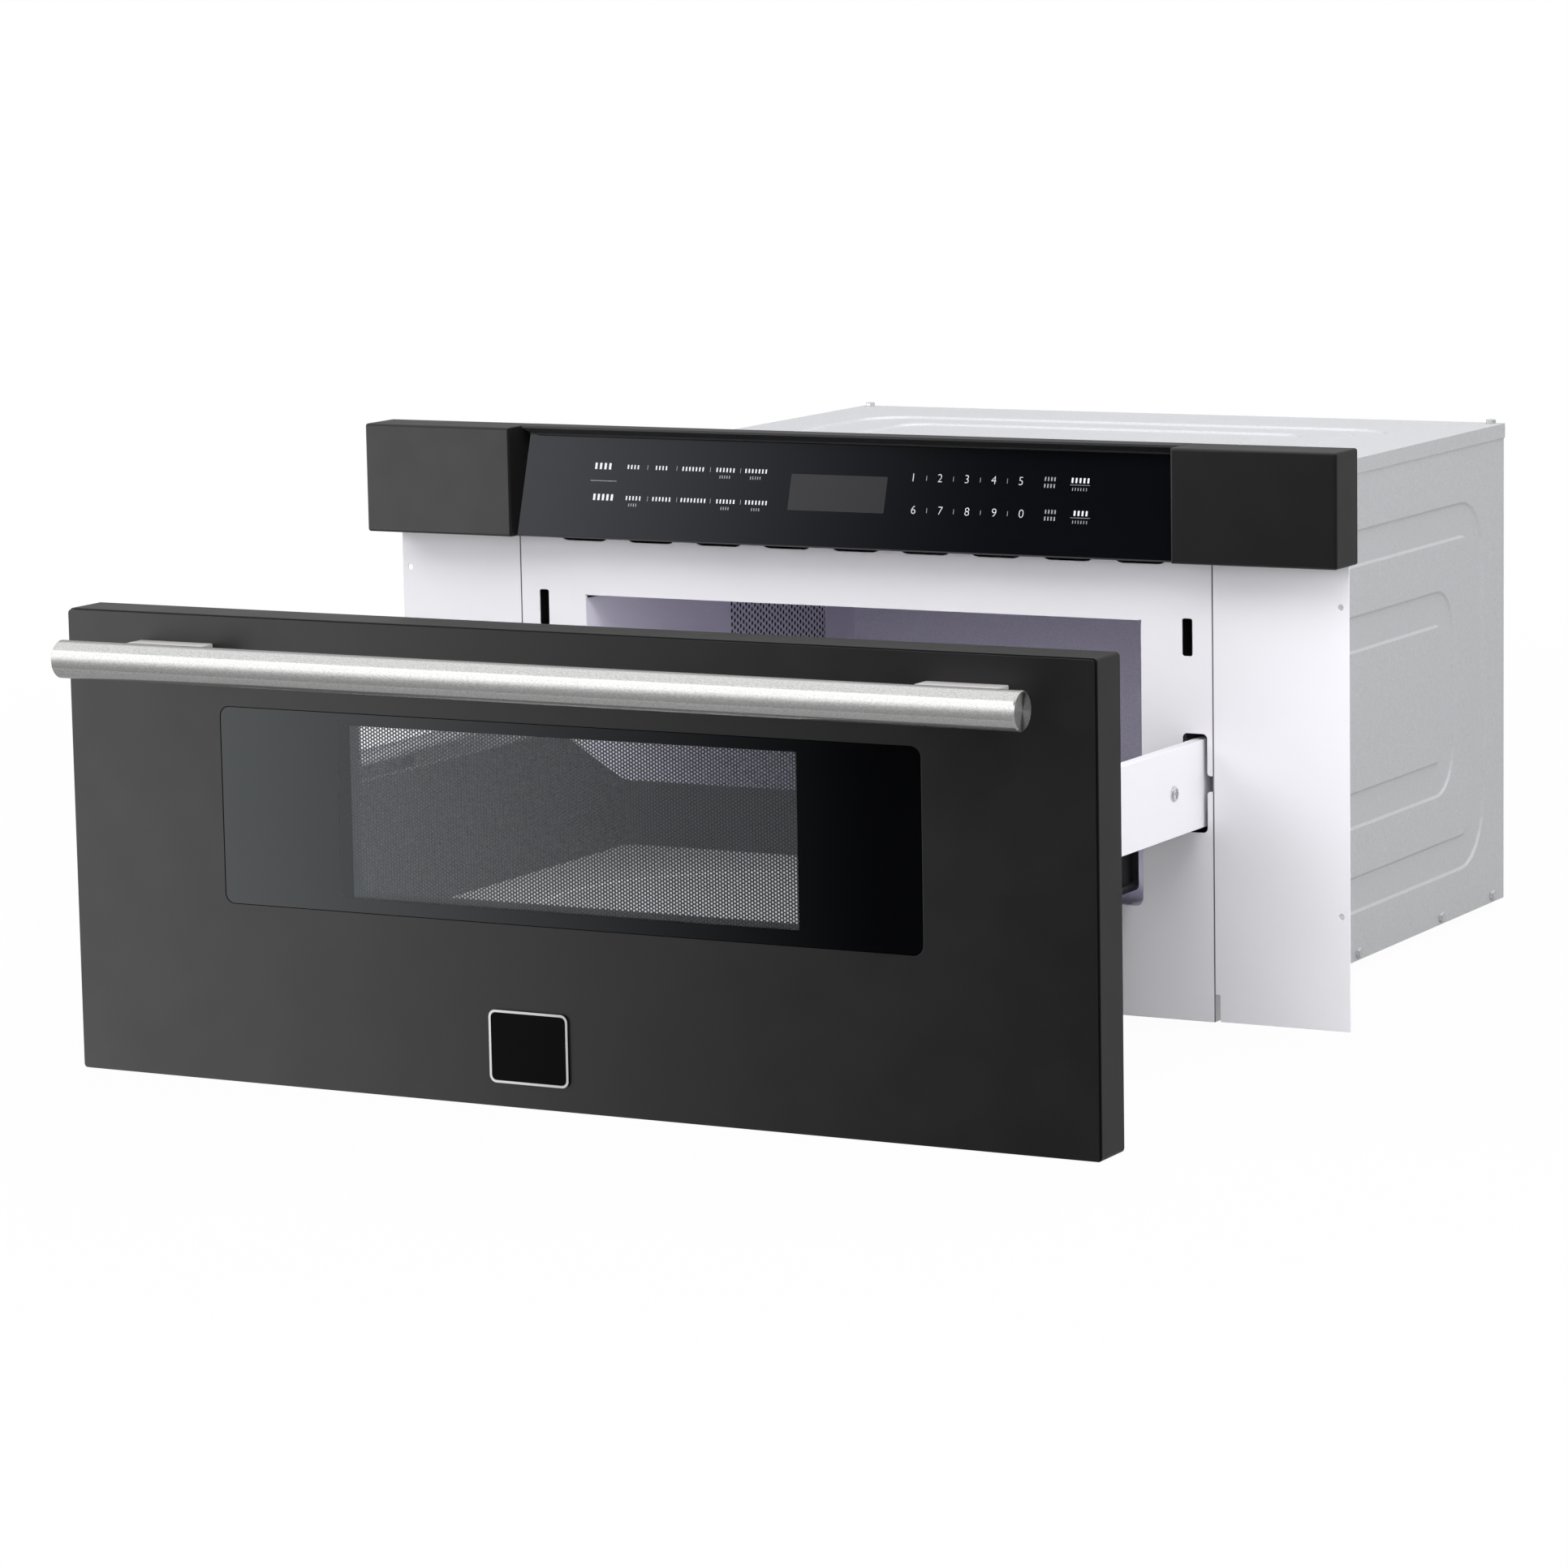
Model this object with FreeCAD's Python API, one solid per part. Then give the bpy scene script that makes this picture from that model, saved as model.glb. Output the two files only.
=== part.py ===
import FreeCAD, Part
import math
import os

from FreeCAD import Placement, Rotation, Vector

# Microwave drawer, built in. Millimetres, +Z up, the front faces -Y, +X is the
# viewer's right. The origin is the middle of the cabinet's underside. The drawer
# stands fully open, which is the rest position.

# --- all over ---
beyond = 1.0
run_gap = 0.3
seam = 0.1
shaft_clearance = 0.05
pass_clearance = 1.5
round_sides = 24
small_round_sides = 16
corner_steps = 3

# --- cabinet ---
overall_width = 762.0
cabinet_width = 549.6
cabinet_depth = 548.4
cabinet_height = 366.9
cabinet_sheet = 1.0
cover_sheet = 0.8
face_sheet = 1.2
cover_lip = 10.5
flange_depth = 13.0
slide_space = 54.8
roof_space = 89.9
rear_space = 129.4

# --- cabinet screws and cord bushing ---
screw_flats = 7.0
screw_sides = 6
screw_head = 3.0
side_screw_height = 6.0
side_screw_count = 3
side_screw_pitch = 161.8
side_screw_rear = 131.4
corner_screw_rear = 26.8
top_screw_side = 8.8
top_screw_rear = 7.0
top_screw_front = 9.0
rear_screw_side = 9.8
rear_screw_low = 18.0
rear_screw_drop = 23.3
bushing_radius = 9.0
bushing_bore = 4.5
bushing_wall = 1.5
bushing_length = 12.0
bushing_lip = 3.0
bushing_side = 59.8
bushing_height = 40.0

# --- pressed beads of the side panels and the top cover ---
bead_width = 27.0
bead_depth = 1.6
bead_slope = 1.8
bead_corner_steps = 6
side_bead_edge = 43.0
side_bead_low = 35.5
side_bead_drop = 51.9
side_bead_corner = 45.0
side_bead_step = 62.0
side_bead_step_corner = 32.0
top_bead_edge = 77.0
top_bead_side = 52.0
top_bead_corner = 38.0
top_bead_step = 52.0
top_bead_step_corner = 24.0

# --- face frame and filler strips ---
mouth_bottom = 77.6
mouth_corner = 6.0
mouth_relief = 1.2
mouth_relief_sides = 12
strip_inset = 6.6
strip_bottom = 0.6
strip_drop = 16.9
strip_flange = 15.0
strip_notch_width = 4.0
strip_notch_height = 19.0
fixing_hole = 4.4
fixing_edge = 6.1
fixing_low = 80.0
fixing_pitch = 212.0

# --- vents of the face frame, rear panel and base pan ---
vent_count = 9
vent_pitch = 55.0
vent_width = 40.0
vent_height = 13.0
vent_corner = 6.0
vent_show = 5.1
rear_vent_count = 6
rear_vent_pitch = 16.0
rear_vent_width = 110.0
rear_vent_height = 5.0
rear_vent_corner = 2.4
rear_vent_x = 150.0
rear_vent_low_left = 60.0
rear_vent_low_right = 76.0
base_vent_count = 8
base_vent_pitch = 14.0
base_vent_width = 6.0
base_vent_length = 60.0
base_vent_x = 150.0
base_vent_y = 30.0

# --- cooking cavity ---
cavity_sheet = 1.0
cavity_flange = 10.0
square_top_depth = 60.0
recess_width = 200.0
recess_length = 200.0
recess_height = 20.0
recess_rear = 114.8
cover_plate = 2.0
cover_inset = 0.6
cover_corner = 3.0
cover_boss_radius = 4.0
cover_boss_height = 1.0
feed_width = 76.0
feed_length = 34.0
screen_length = 160.0
screen_height = 105.0
screen_rear = 44.8
screen_drop = 22.0
screen_sheet = 0.6
screen_lap = 3.0

# --- waveguide, magnetron and stirrer ---
guide_width = 84.0
guide_height = 34.0
guide_sheet = 1.2
guide_rear_gap = 38.2
guide_front_margin = 30.0
guide_flange = 10.0
tube_width = 92.0
tube_depth = 70.0
tube_height = 88.0
tube_plate = 1.6
tube_margin = 4.0
yoke_width = 8.0
anode_radius = 19.0
fin_count = 5
fin_sheet = 0.8
fin_depth = 64.0
antenna_radius = 7.5
antenna_height = 17.0
antenna_gap = 3.0
filter_width = 64.0
filter_depth = 54.0
filter_height = 30.0
stirrer_radius = 84.0
stirrer_bend = 60.5
stirrer_blades = 4
stirrer_blade_width = 30.0
stirrer_sheet = 1.0
stirrer_root = 1.0
stirrer_lift = 7.0
stirrer_shaft_radius = 2.5
stirrer_hub_radius = 9.0
stirrer_hub_height = 4.0
stirrer_motor_radius = 25.0
stirrer_motor_height = 16.0
stirrer_shaft_end = 6.0
stirrer_ear_reach = 9.0
stirrer_ear_width = 14.0
stirrer_ear_sheet = 1.2
motor_cap = 3.0

# --- cooling fan ---
fan_radius = 48.0
fan_tip_gap = 2.0
fan_blades = 7
fan_blade_sheet = 1.4
fan_blade_depth = 16.0
fan_root_sweep = 50.0
fan_tip_sweep = 36.0
fan_blade_camber = 1.2
fan_blade_root = 1.0
fan_hub_radius = 15.0
fan_from_tube = 70.0
fan_drop = 62.0
fan_shaft_radius = 2.5
shroud_sheet = 1.5
shroud_height = 122.0
shroud_ring = 20.0
shroud_lip = 9.0
fan_motor_width = 50.0
fan_motor_depth = 34.0
fan_motor_height = 56.0
fan_motor_gap = 8.0
fan_motor_cap = 6.0
fan_motor_cap_radius = 16.0
fan_motor_corner = 3.0
fan_leg_width = 8.0
fan_leg_sheet = 2.0
fan_leg_lap = 1.0

# --- air duct from the magnetron to the vent screen ---
duct_wall = 1.5
duct_gap = 3.0
duct_height = 108.0
duct_side_depth = 24.0
duct_front_margin = 3.0
duct_rear_depth = 46.0
duct_turn = 8.0
duct_entry_depth = 74.0
duct_entry_height = 80.0

# --- transformer, capacitor, board and lamp ---
core_width = 92.0
core_depth = 66.0
core_height = 78.0
core_side = 93.0
core_foot = 10.0
core_foot_depth = 50.0
core_foot_sheet = 2.0
coil_width = 58.0
coil_overhang = 16.0
coil_height = 44.0
coil_corner = 12.0
capacitor_width = 54.0
capacitor_depth = 34.0
capacitor_corner = 16.5
capacitor_height = 86.0
capacitor_pitch = 120.0
strap_reach = 13.0
strap_width = 12.0
strap_sheet = 1.2
terminal_width = 6.3
terminal_sheet = 0.8
terminal_length = 9.0
terminal_pitch = 24.0
board_width = 120.0
board_depth = 90.0
board_sheet = 1.6
board_post = 8.0
board_post_width = 6.0
board_post_inset = 6.0
board_side = 113.0
relay_width = 18.0
relay_depth = 16.0
relay_height = 16.0
relay_pitch = 26.0
coil_block_width = 28.0
coil_block_depth = 34.0
coil_block_height = 24.0
board_row_offset = 18.0
can_radius = 9.0
can_height = 20.0
lamp_rear = 204.8
lamp_drop = 37.0
lamp_slot_width = 2.4
lamp_slot_height = 22.0
lamp_slot_pitch = 5.0
lamp_slot_count = 5
lamp_tray_width = 42.0
lamp_tray_height = 34.0
lamp_tray_sheet = 1.2
lamp_collar_wall = 1.5
lamp_collar_margin = 3.0
lamp_collar_length = 5.0
lamp_bridge = 8.0
lamp_radius = 11.0
lamp_length = 18.0
lamp_socket_radius = 12.5
lamp_socket_length = 12.0
lamp_socket_lap = 2.2

# --- control panel ---
panel_drop = 45.3
panel_height = 78.7
panel_depth = 36.8
panel_back_sheet = 1.5
panel_gap = 0.3
cap_width = 121.5
cap_wall = 2.5
cap_edge = 2.0
glass_low = 28.6
glass_high = 6.1
glass_rebate = 1.2
lip_reach = 18.5
lip_drop = 6.3
lip_edge = 1.6
panel_glass = 3.0
housing_wall = 2.0
housing_ledge = 9.0
board_long = 440.0
board_low = 10.0
board_high = 31.0
board_space = 4.0
display_x = -4.6
display_width = 76.0
display_low = 26.3
display_high = 23.5
key_contact_width = 10.0
key_contact_low = 20.0
key_contact_high = 45.0
key_contact_pitch = 42.0
key_contact_count = 10

# --- door ---
door_drop = 6.1
door_gap = 12.7
door_thickness = 35.9
door_corner = 3.0
inner_corner = 3.0
open_travel = 380.0
closed_gap = 0.9
skin_sheet = 1.2
skin_inset = 0.8
skin_corner = 2.5
seam_depth = 1.8
seam_inset = 2.0
step_band = 14.0
frame_wall = 1.5
window_side = 120.5
window_low = 121.8
window_drop = 60.4
window_corner = 7.0
window_gap = 0.4
window_glass_thickness = 4.0
glass_setback = 0.2
choke_side = 15.5
choke_low = 58.1
choke_drop = 10.9
choke_corner = 8.0
choke_wall = 1.0
choke_cover_sheet = 2.5
mouth_lap = 3.0
screen_step = 4.0
screen_step_corner = 4.0
sight_side = 87.5
sight_low = 8.3
sight_drop = 6.5
sight_corner = 6.0
badge_width = 59.4
badge_height = 48.4
badge_x = -27.8
badge_low = 16.7
badge_thickness = 1.6
badge_corner = 5.0
badge_rim = 1.6
badge_rim_height = 0.5

# --- handle ---
handle_radius = 12.7
handle_end = 27.0
handle_chamfer = 0.6
handle_standoff = 46.7
handle_drop = 27.4
post_width = 57.4
post_height = 17.0
post_end = 60.7
post_edge = 0.8
post_screw_radius = 4.5
post_screw_head = 3.0
post_screw_pitch = 32.0

# --- drawer tub and tray ---
tub_side_gap = 12.0
tub_rear_gap = 4.9
tub_lift = 8.4
tub_wall = 3.0
tub_floor = 2.0
tub_height = 102.0
tub_back_height = 53.0
tub_slope_start = 96.0
tub_slope_end = 4.0
tub_corner = 14.0
tub_rim = 4.0
tub_rim_height = 3.0
tub_sill = 12.0
tub_side_return = 16.0
rib_count = 13
rib_depth = 4.0
rib_sheet = 2.0
rib_front = 20.0
rib_rear = 6.0
rib_lift = 4.0
tray_thickness = 4.0
tray_gap = 0.4
ring_radius = 142.0
ring_width = 4.0
ring_depth = 0.8
ring_sides = 40

# --- drawer slides ---
slide_rear_margin = 42.4
slide_setback = 6.0
slide_sheet = 1.4
slide_gap = 0.3
slide_inset = 22.0
slide_height = 45.7
outer_lip = 11.4
middle_lip = 9.3
inner_lip_gap = 0.6
arm_side_gap = 6.8
arm_drop = 80.5
arm_height = 60.7
arm_sheet = 1.4
arm_flange = 8.8
arm_foot_sheet = 2.0
arm_foot_width = 15.7
arm_foot_out = 2.0
arm_screw_count = 4
arm_screw_pitch = 145.0
arm_screw_front = 35.0
arm_screw_radius = 4.0
arm_screw_head = 2.4
slot_gap_side = 3.0
slot_gap_low = 3.9
slot_gap_high = 4.0
slot_width = 18.3
slot_corner = 3.5
slot_notch_corner = 2.5
slot_notch_low = 25.0
slot_notch_height = 10.7
bracket_over = 15.5
bracket_sheet = 1.2
bracket_front = 4.0
bracket_foot = 14.0
bracket_fold = 8.0

# --- latches and switches ---
latch_side = 18.1
latch_drop = 23.1
latch_slot_width = 7.6
latch_slot_height = 25.9
latch_slot_corner = 1.5
hook_thickness = 4.0
hook_reach = 24.0
hook_height = 10.0
hook_nose = 5.0
hook_nose_flat = 5.0
hook_nose_slope = 4.0
hook_step = 2.0
hook_foot = 2.0
hook_gap = 0.8
carrier_wall = 2.0
carrier_depth = 44.0
carrier_gap = 2.4
carrier_ear = 8.0
switch_setback = 12.0
switch_length = 27.8
switch_height = 15.9
switch_width = 10.3
switch_plunger = 1.6
switch_button = 3.0
switch_button_drop = 5.0
switch_gap = 0.4
switch_tab_length = 8.0
switch_tab_low = 3.5
switch_tab_pitch = 8.0

# --- drawer drive ---
tooth_module = 1.5
pinion_teeth = 18
pressure_angle = 20.0
tooth_play = 0.15
root_depth = 1.875
pinion_width = 13.0
pinion_setback = 40.0
pinion_shaft_radius = 4.0
pinion_shaft_over = 4.0
pinion_shaft_low = 3.0
flank_steps = 3
rack_bottom = 22.0
rack_height = 12.0
rack_back = 12.0
rack_pitch_x = 5.0
rack_tail = 15.0
rack_foot_width = 42.0
rack_foot_height = 26.0
rack_foot_sheet = 3.0
rack_slot_gap = 3.5
guide_wall = 3.0
guide_foot = 16.0
guide_lip = 5.0
guide_front = 2.0
guide_end_gap = 80.2
gearbox_gap = 1.0
gearbox_width = 62.0
gearbox_depth = 60.0
gearbox_height = 17.0
gearbox_corner = 6.0
gearbox_offset = 8.0
gearbox_floor = 2.0
motor_radius = 18.0
motor_length = 52.0
motor_nose_radius = 6.0
motor_nose_length = 5.0

# --- places worked out from the sizes above ---
face = -cabinet_depth / 2
back = cabinet_depth / 2
cabinet_half = cabinet_width / 2
overall_half = overall_width / 2
side_outer = cabinet_half - cover_sheet
side_inner = side_outer - cabinet_sheet
rear_outer = back - cover_sheet
rear_inner = rear_outer - cabinet_sheet
frame_back = face + face_sheet
top_under = cabinet_height - cover_sheet

cavity_half = cabinet_half - slide_space
cavity_back = back - rear_space
cavity_outside = cavity_half + cavity_sheet
mouth_top = cabinet_height - roof_space
recess_middle = cavity_back - recess_rear - recess_length / 2
recess_roof = mouth_top + recess_height + cavity_sheet
screen_top = mouth_top - screen_drop
lamp_y = cavity_back - lamp_rear
lamp_z = mouth_top - lamp_drop

guide_top = recess_roof + guide_height
guide_rear = back - guide_rear_gap
tube_middle = guide_rear - guide_sheet - tube_margin - tube_depth / 2
rear_middle = (cavity_back + cavity_sheet + rear_inner - cabinet_sheet) / 2
fan_x = tube_width / 2 + fan_from_tube
fan_z = recess_roof - fan_drop
core_x = side_inner - core_side
capacitor_x = core_x - capacitor_pitch
board_x = board_side - side_inner

panel_bottom = cabinet_height - panel_drop
panel_top = panel_bottom + panel_height
panel_half = overall_half - cap_width
panel_lean = math.atan((glass_low - glass_high) / (panel_height - lip_drop))
strip_outer = overall_half - strip_inset
strip_top = cabinet_height - strip_drop

door_bottom = -door_drop
door_top = panel_bottom - door_gap
door_back = face - open_travel - closed_gap
door_front = door_back - door_thickness
skin_back = door_front + skin_sheet
seam_back = skin_back + seam_depth
window_half = overall_half - window_side
window_range = (door_bottom + window_low, door_top - window_drop)
choke_half = window_half - choke_side
choke_range = (door_bottom + choke_low, door_top - choke_drop)
glass_front = door_front + glass_setback
glass_back = glass_front + window_glass_thickness
choke_back = door_back - choke_cover_sheet
handle_half = overall_half - handle_end
handle_y = door_front - handle_standoff
handle_z = door_top - handle_drop
post_x = handle_half - post_end

tub_half = cavity_half - tub_side_gap
tub_rear = cavity_back - open_travel - tub_rear_gap - tub_rim
tub_bottom = mouth_bottom + tub_lift
tub_top = tub_bottom + tub_height
tray_bottom = tub_bottom + tub_floor

arm_outer = side_inner - arm_side_gap
arm_inner = arm_outer - arm_sheet
arm_top = mouth_top - arm_drop
arm_bottom = arm_top - arm_height
slide_web = side_inner - slide_inset
slide_middle = arm_bottom + arm_height / 2
slide_front = face + slide_setback
slide_length = cabinet_depth - slide_setback - slide_rear_margin
latch_x = side_inner - latch_side
latch_range = (mouth_top - latch_drop, mouth_top - latch_drop + latch_slot_height)

tooth_pitch = math.pi * tooth_module
pinion_radius = tooth_module * pinion_teeth / 2
pinion_x = rack_pitch_x + pinion_radius
pinion_y = face + pinion_setback
rack_root = rack_pitch_x - root_depth
rack_middle = rack_bottom + rack_height / 2


# --- shapes used all over ---
def block(x_range, y_range, z_range):
    corner = Vector(x_range[0], y_range[0], z_range[0])
    width = x_range[1] - x_range[0]
    depth = y_range[1] - y_range[0]
    height = z_range[1] - z_range[0]
    return Part.makeBox(width, depth, height, corner)


def rod(start, axis, radius, length):
    return Part.makeCylinder(radius, length, Vector(*start), Vector(*axis))


def place_in_plane(u, v, at, plane):
    if plane == "xz":
        return Vector(u, at, v)
    if plane == "yz":
        return Vector(at, u, v)
    return Vector(u, v, at)


def plane_normal(plane):
    return {"xz": Vector(0, 1, 0), "yz": Vector(1, 0, 0), "xy": Vector(0, 0, 1)}[plane]


def outline(points, at, plane):
    return [place_in_plane(u, v, at, plane) for u, v in points]


def flat_face(corners):
    return Part.Face(Part.makePolygon(corners + [corners[0]]))


def slab(points, start, end, plane):
    return flat_face(outline(points, start, plane)).extrude(plane_normal(plane) * (end - start))


# A solid with flat faces between two outlines that have the same number of corners.
def tapered(first, second):
    faces = [flat_face(first), flat_face(second)]
    for index, corner in enumerate(first):
        following = (index + 1) % len(first)
        faces.append(flat_face([corner, first[following], second[following]]))
        faces.append(flat_face([corner, second[following], second[index]]))
    solid = Part.Solid(Part.Shell(faces))
    if solid.Volume < 0:
        solid.reverse()
    return solid.removeSplitter()


# The points round each corner of a rectangle with rounded corners, in that many steps.
def corner_points(u_range, v_range, radius, steps):
    u0, u1 = grown(u_range, -radius)
    v0, v1 = grown(v_range, -radius)
    corners = []
    for quarter, (u, v) in enumerate(((u1, v0), (u1, v1), (u0, v1), (u0, v0))):
        points = []
        for step in range(steps + 1):
            angle = math.pi / 2 * (quarter - 1 + step / steps)
            points.append((u + radius * math.cos(angle), v + radius * math.sin(angle)))
        corners.append(points)
    return corners


def round_wire(u_range, v_range, radius, at, plane):
    arcs = [outline(points, at, plane) for points in corner_points(u_range, v_range, radius, 2)]
    edges = []
    for index, points in enumerate(arcs):
        edges.append(Part.Arc(*points).toShape())
        following = arcs[(index + 1) % 4][0]
        if points[2].distanceToPoint(following) > 1e-6:
            edges.append(Part.LineSegment(points[2], following).toShape())
    return Part.Wire(edges)


def round_slab(u_range, v_range, radius, start, end, plane):
    wire = round_wire(u_range, v_range, radius, start, plane)
    return Part.Face(wire).extrude(plane_normal(plane) * (end - start))


# Rounded corners in a few flat steps, for pieces that repeat or lie inside.
def stepped_points(u_range, v_range, radius, steps=corner_steps):
    corners = corner_points(u_range, v_range, radius, steps)
    return [point for points in corners for point in points]


def stepped_slab(u_range, v_range, radius, start, end, plane):
    return slab(stepped_points(u_range, v_range, radius), start, end, plane)


def prism(at, axis, radius, length, sides=round_sides):
    points = []
    for index in range(sides):
        angle = 2 * math.pi * index / sides
        points.append(Vector(radius * math.cos(angle), radius * math.sin(angle), 0))
    solid = flat_face(points).extrude(Vector(0, 0, length))
    solid.Placement = Placement(Vector(*at), Rotation(Vector(0, 0, 1), Vector(*axis)))
    return solid


def grown(limits, by):
    return (limits[0] - by, limits[1] + by)


def through(limits):
    return grown(limits, beyond)


def centred(size, middle=0.0):
    return (middle - size / 2, middle + size / 2)


def mirrored(shape):
    return shape.mirror(Vector(0, 0, 0), Vector(1, 0, 0))


def joined(shapes):
    return shapes[0].fuse(shapes[1:]).removeSplitter()


def group(shapes):
    return Part.makeCompound(shapes)


def hex_head(at, axis):
    return prism(at, axis, screw_flats / math.sqrt(3), screw_head, screw_sides)


def save(shape, node):
    shape.exportStep("parts/" + node + ".step")
    print(node, len(shape.Solids), "solids", round(shape.Volume / 1000, 1), "cm3")


# --- pressed beads: a band between two rounded rectangles, sunk into the sheet ---
def bead_outline(u_range, v_range, radius, grow, at, plane):
    points = stepped_points(grown(u_range, grow), grown(v_range, grow), radius + grow,
                            bead_corner_steps)
    return outline(points, at, plane)


def bead_band(u_range, v_range, radius, start, deep, plane):
    inner_radius = max(radius - bead_width, bead_slope * 2)
    inner_u = grown(u_range, -bead_width)
    inner_v = grown(v_range, -bead_width)
    outer = tapered(bead_outline(u_range, v_range, radius, 0, start, plane),
                    bead_outline(u_range, v_range, radius, -bead_slope, deep, plane))
    inner = tapered(bead_outline(inner_u, inner_v, inner_radius, 0, start, plane),
                    bead_outline(inner_u, inner_v, inner_radius, bead_slope, deep, plane))
    return outer.cut(inner)


def bead_pair(sheet, rectangles, surface, inward, plane):
    thickness = cover_sheet if plane == "xy" else cabinet_sheet
    for u_range, v_range, radius in rectangles:
        bottom = surface + inward * bead_depth
        band = bead_band(u_range, v_range, radius, surface, bottom, plane)
        shift = plane_normal(plane) * (inward * thickness)
        sheet = sheet.fuse(band.translated(shift)).cut(band)
    return sheet


# --- cabinet ---
def side_panel():
    sheet = block((side_inner, side_outer), (frame_back, rear_inner), (0, top_under))
    depth_range = (face + side_bead_edge, back - side_bead_edge)
    height_range = (side_bead_low, cabinet_height - side_bead_drop)
    rectangles = [
        (depth_range, height_range, side_bead_corner),
        (grown(depth_range, -side_bead_step), grown(height_range, -side_bead_step),
         side_bead_step_corner),
    ]
    return bead_pair(sheet, rectangles, side_outer, -1, "yz")


def top_cover():
    half = cabinet_half
    sheet = block((-half, half), (frame_back, back), (top_under, cabinet_height))
    lip_range = (top_under - cover_lip, top_under)
    lips = [
        block((side_outer, half), (frame_back, back), lip_range),
        block((-half, -side_outer), (frame_back, back), lip_range),
        block((-half, half), (rear_outer, back), lip_range),
    ]
    sheet = joined([sheet] + lips)
    width_range = centred(cabinet_width - 2 * top_bead_side)
    depth_range = (face + top_bead_edge, back - top_bead_edge)
    rectangles = [
        (width_range, depth_range, top_bead_corner),
        (grown(width_range, -top_bead_step), grown(depth_range, -top_bead_step),
         top_bead_step_corner),
    ]
    return bead_pair(sheet, rectangles, cabinet_height, -1, "xy")


def base_pan():
    plate = block((-side_inner, side_inner), (frame_back, rear_inner), (0, cabinet_sheet))
    flange_range = (cabinet_sheet, cabinet_sheet + flange_depth)
    side_flange = block((side_inner - cabinet_sheet, side_inner), (frame_back, rear_inner),
                        flange_range)
    rear_flange = block((-side_inner, side_inner), (rear_inner - cabinet_sheet, rear_inner),
                        flange_range)
    pan = joined([plate, side_flange, mirrored(side_flange), rear_flange])
    slots = []
    for index in range(base_vent_count):
        x = base_vent_x + (index - (base_vent_count - 1) / 2) * base_vent_pitch
        slots.append(block(centred(base_vent_width, x), centred(base_vent_length, base_vent_y),
                           through((0, cabinet_sheet))))
    return pan.cut(group(slots))


def rear_panel():
    panel = block((-side_outer, side_outer), (rear_inner, rear_outer), (0, top_under))
    cut_range = through((rear_inner, rear_outer))
    cuts = [rod((bushing_x(), cut_range[0], bushing_height), (0, 1, 0), bushing_radius,
                cut_range[1] - cut_range[0])]
    for side, start in ((-1, rear_vent_low_left), (1, rear_vent_low_right)):
        for index in range(rear_vent_count):
            low = start + index * rear_vent_pitch
            cuts.append(stepped_slab(centred(rear_vent_width, side * rear_vent_x),
                                     (low, low + rear_vent_height), rear_vent_corner,
                                     cut_range[0], cut_range[1], "xz"))
    return panel.cut(group(cuts))


def rail_slot():
    z_range = (arm_bottom - slot_gap_low, arm_top + slot_gap_high)
    edge = arm_outer + slot_gap_side
    start, end = through((face, frame_back))
    slot = round_slab((edge - slot_width, edge), z_range, slot_corner, start, end, "xz")
    notch_bottom = arm_bottom + slot_notch_low
    notch_range = (notch_bottom, notch_bottom + slot_notch_height)
    notch = block((edge - slot_corner, side_outer + beyond), (start, end), notch_range)
    flare = block((edge - slot_notch_corner, edge + slot_notch_corner), (start, end),
                  grown(notch_range, slot_notch_corner))
    for z in grown(notch_range, slot_notch_corner):
        flare = flare.cut(prism((edge + slot_notch_corner, start, z), (0, 1, 0),
                                slot_notch_corner, end - start))
    return slot.fuse([notch, flare])


def latch_slot():
    start, end = through((face, frame_back))
    return stepped_slab(centred(latch_slot_width, latch_x), latch_range, latch_slot_corner,
                        start, end, "xz")


def mouth_cuts():
    start, end = through((face, frame_back))
    cuts = [round_slab((-cavity_half, cavity_half), (mouth_bottom, mouth_top), mouth_corner,
                       start, end, "xz")]
    for side in (-1, 1):
        cuts.append(block(centred(mouth_corner * 2, side * (cavity_half - mouth_corner)),
                          (start, end), (mouth_top - mouth_corner, mouth_top)))
        x = side * (cavity_half - mouth_relief / 2)
        cuts.append(prism((x, start, mouth_top - mouth_relief / 2), (0, 1, 0), mouth_relief,
                          end - start, mouth_relief_sides))
    return cuts


def vent_cuts():
    start, end = through((face, frame_back))
    bottom = panel_bottom - vent_show
    cuts = []
    for index in range(vent_count):
        x = (index - (vent_count - 1) / 2) * vent_pitch
        cuts.append(stepped_slab(centred(vent_width, x), (bottom, bottom + vent_height),
                                 vent_corner, start, end, "xz"))
    return cuts


def face_frame():
    half = side_outer - seam
    return_half = side_inner - cabinet_sheet
    return_end = frame_back + flange_depth
    plate = joined([
        block((-half, half), (face, frame_back), (0, top_under)),
        block((-return_half, return_half), (face, return_end), (cabinet_sheet, 2 * cabinet_sheet)),
        block((-side_inner, side_inner), (face, return_end), (top_under - cabinet_sheet, top_under)),
    ])
    cuts = mouth_cuts() + vent_cuts()
    for cut in (rail_slot(), latch_slot()):
        cuts += [cut, mirrored(cut)]
    start, end = through((face, frame_back))
    cuts.append(stepped_slab(centred(rack_foot_width + 2 * rack_slot_gap),
                             centred(rack_foot_height + 2 * rack_slot_gap, rack_middle),
                             rack_slot_gap, start, end, "xz"))
    return plate.cut(group(cuts))


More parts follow.
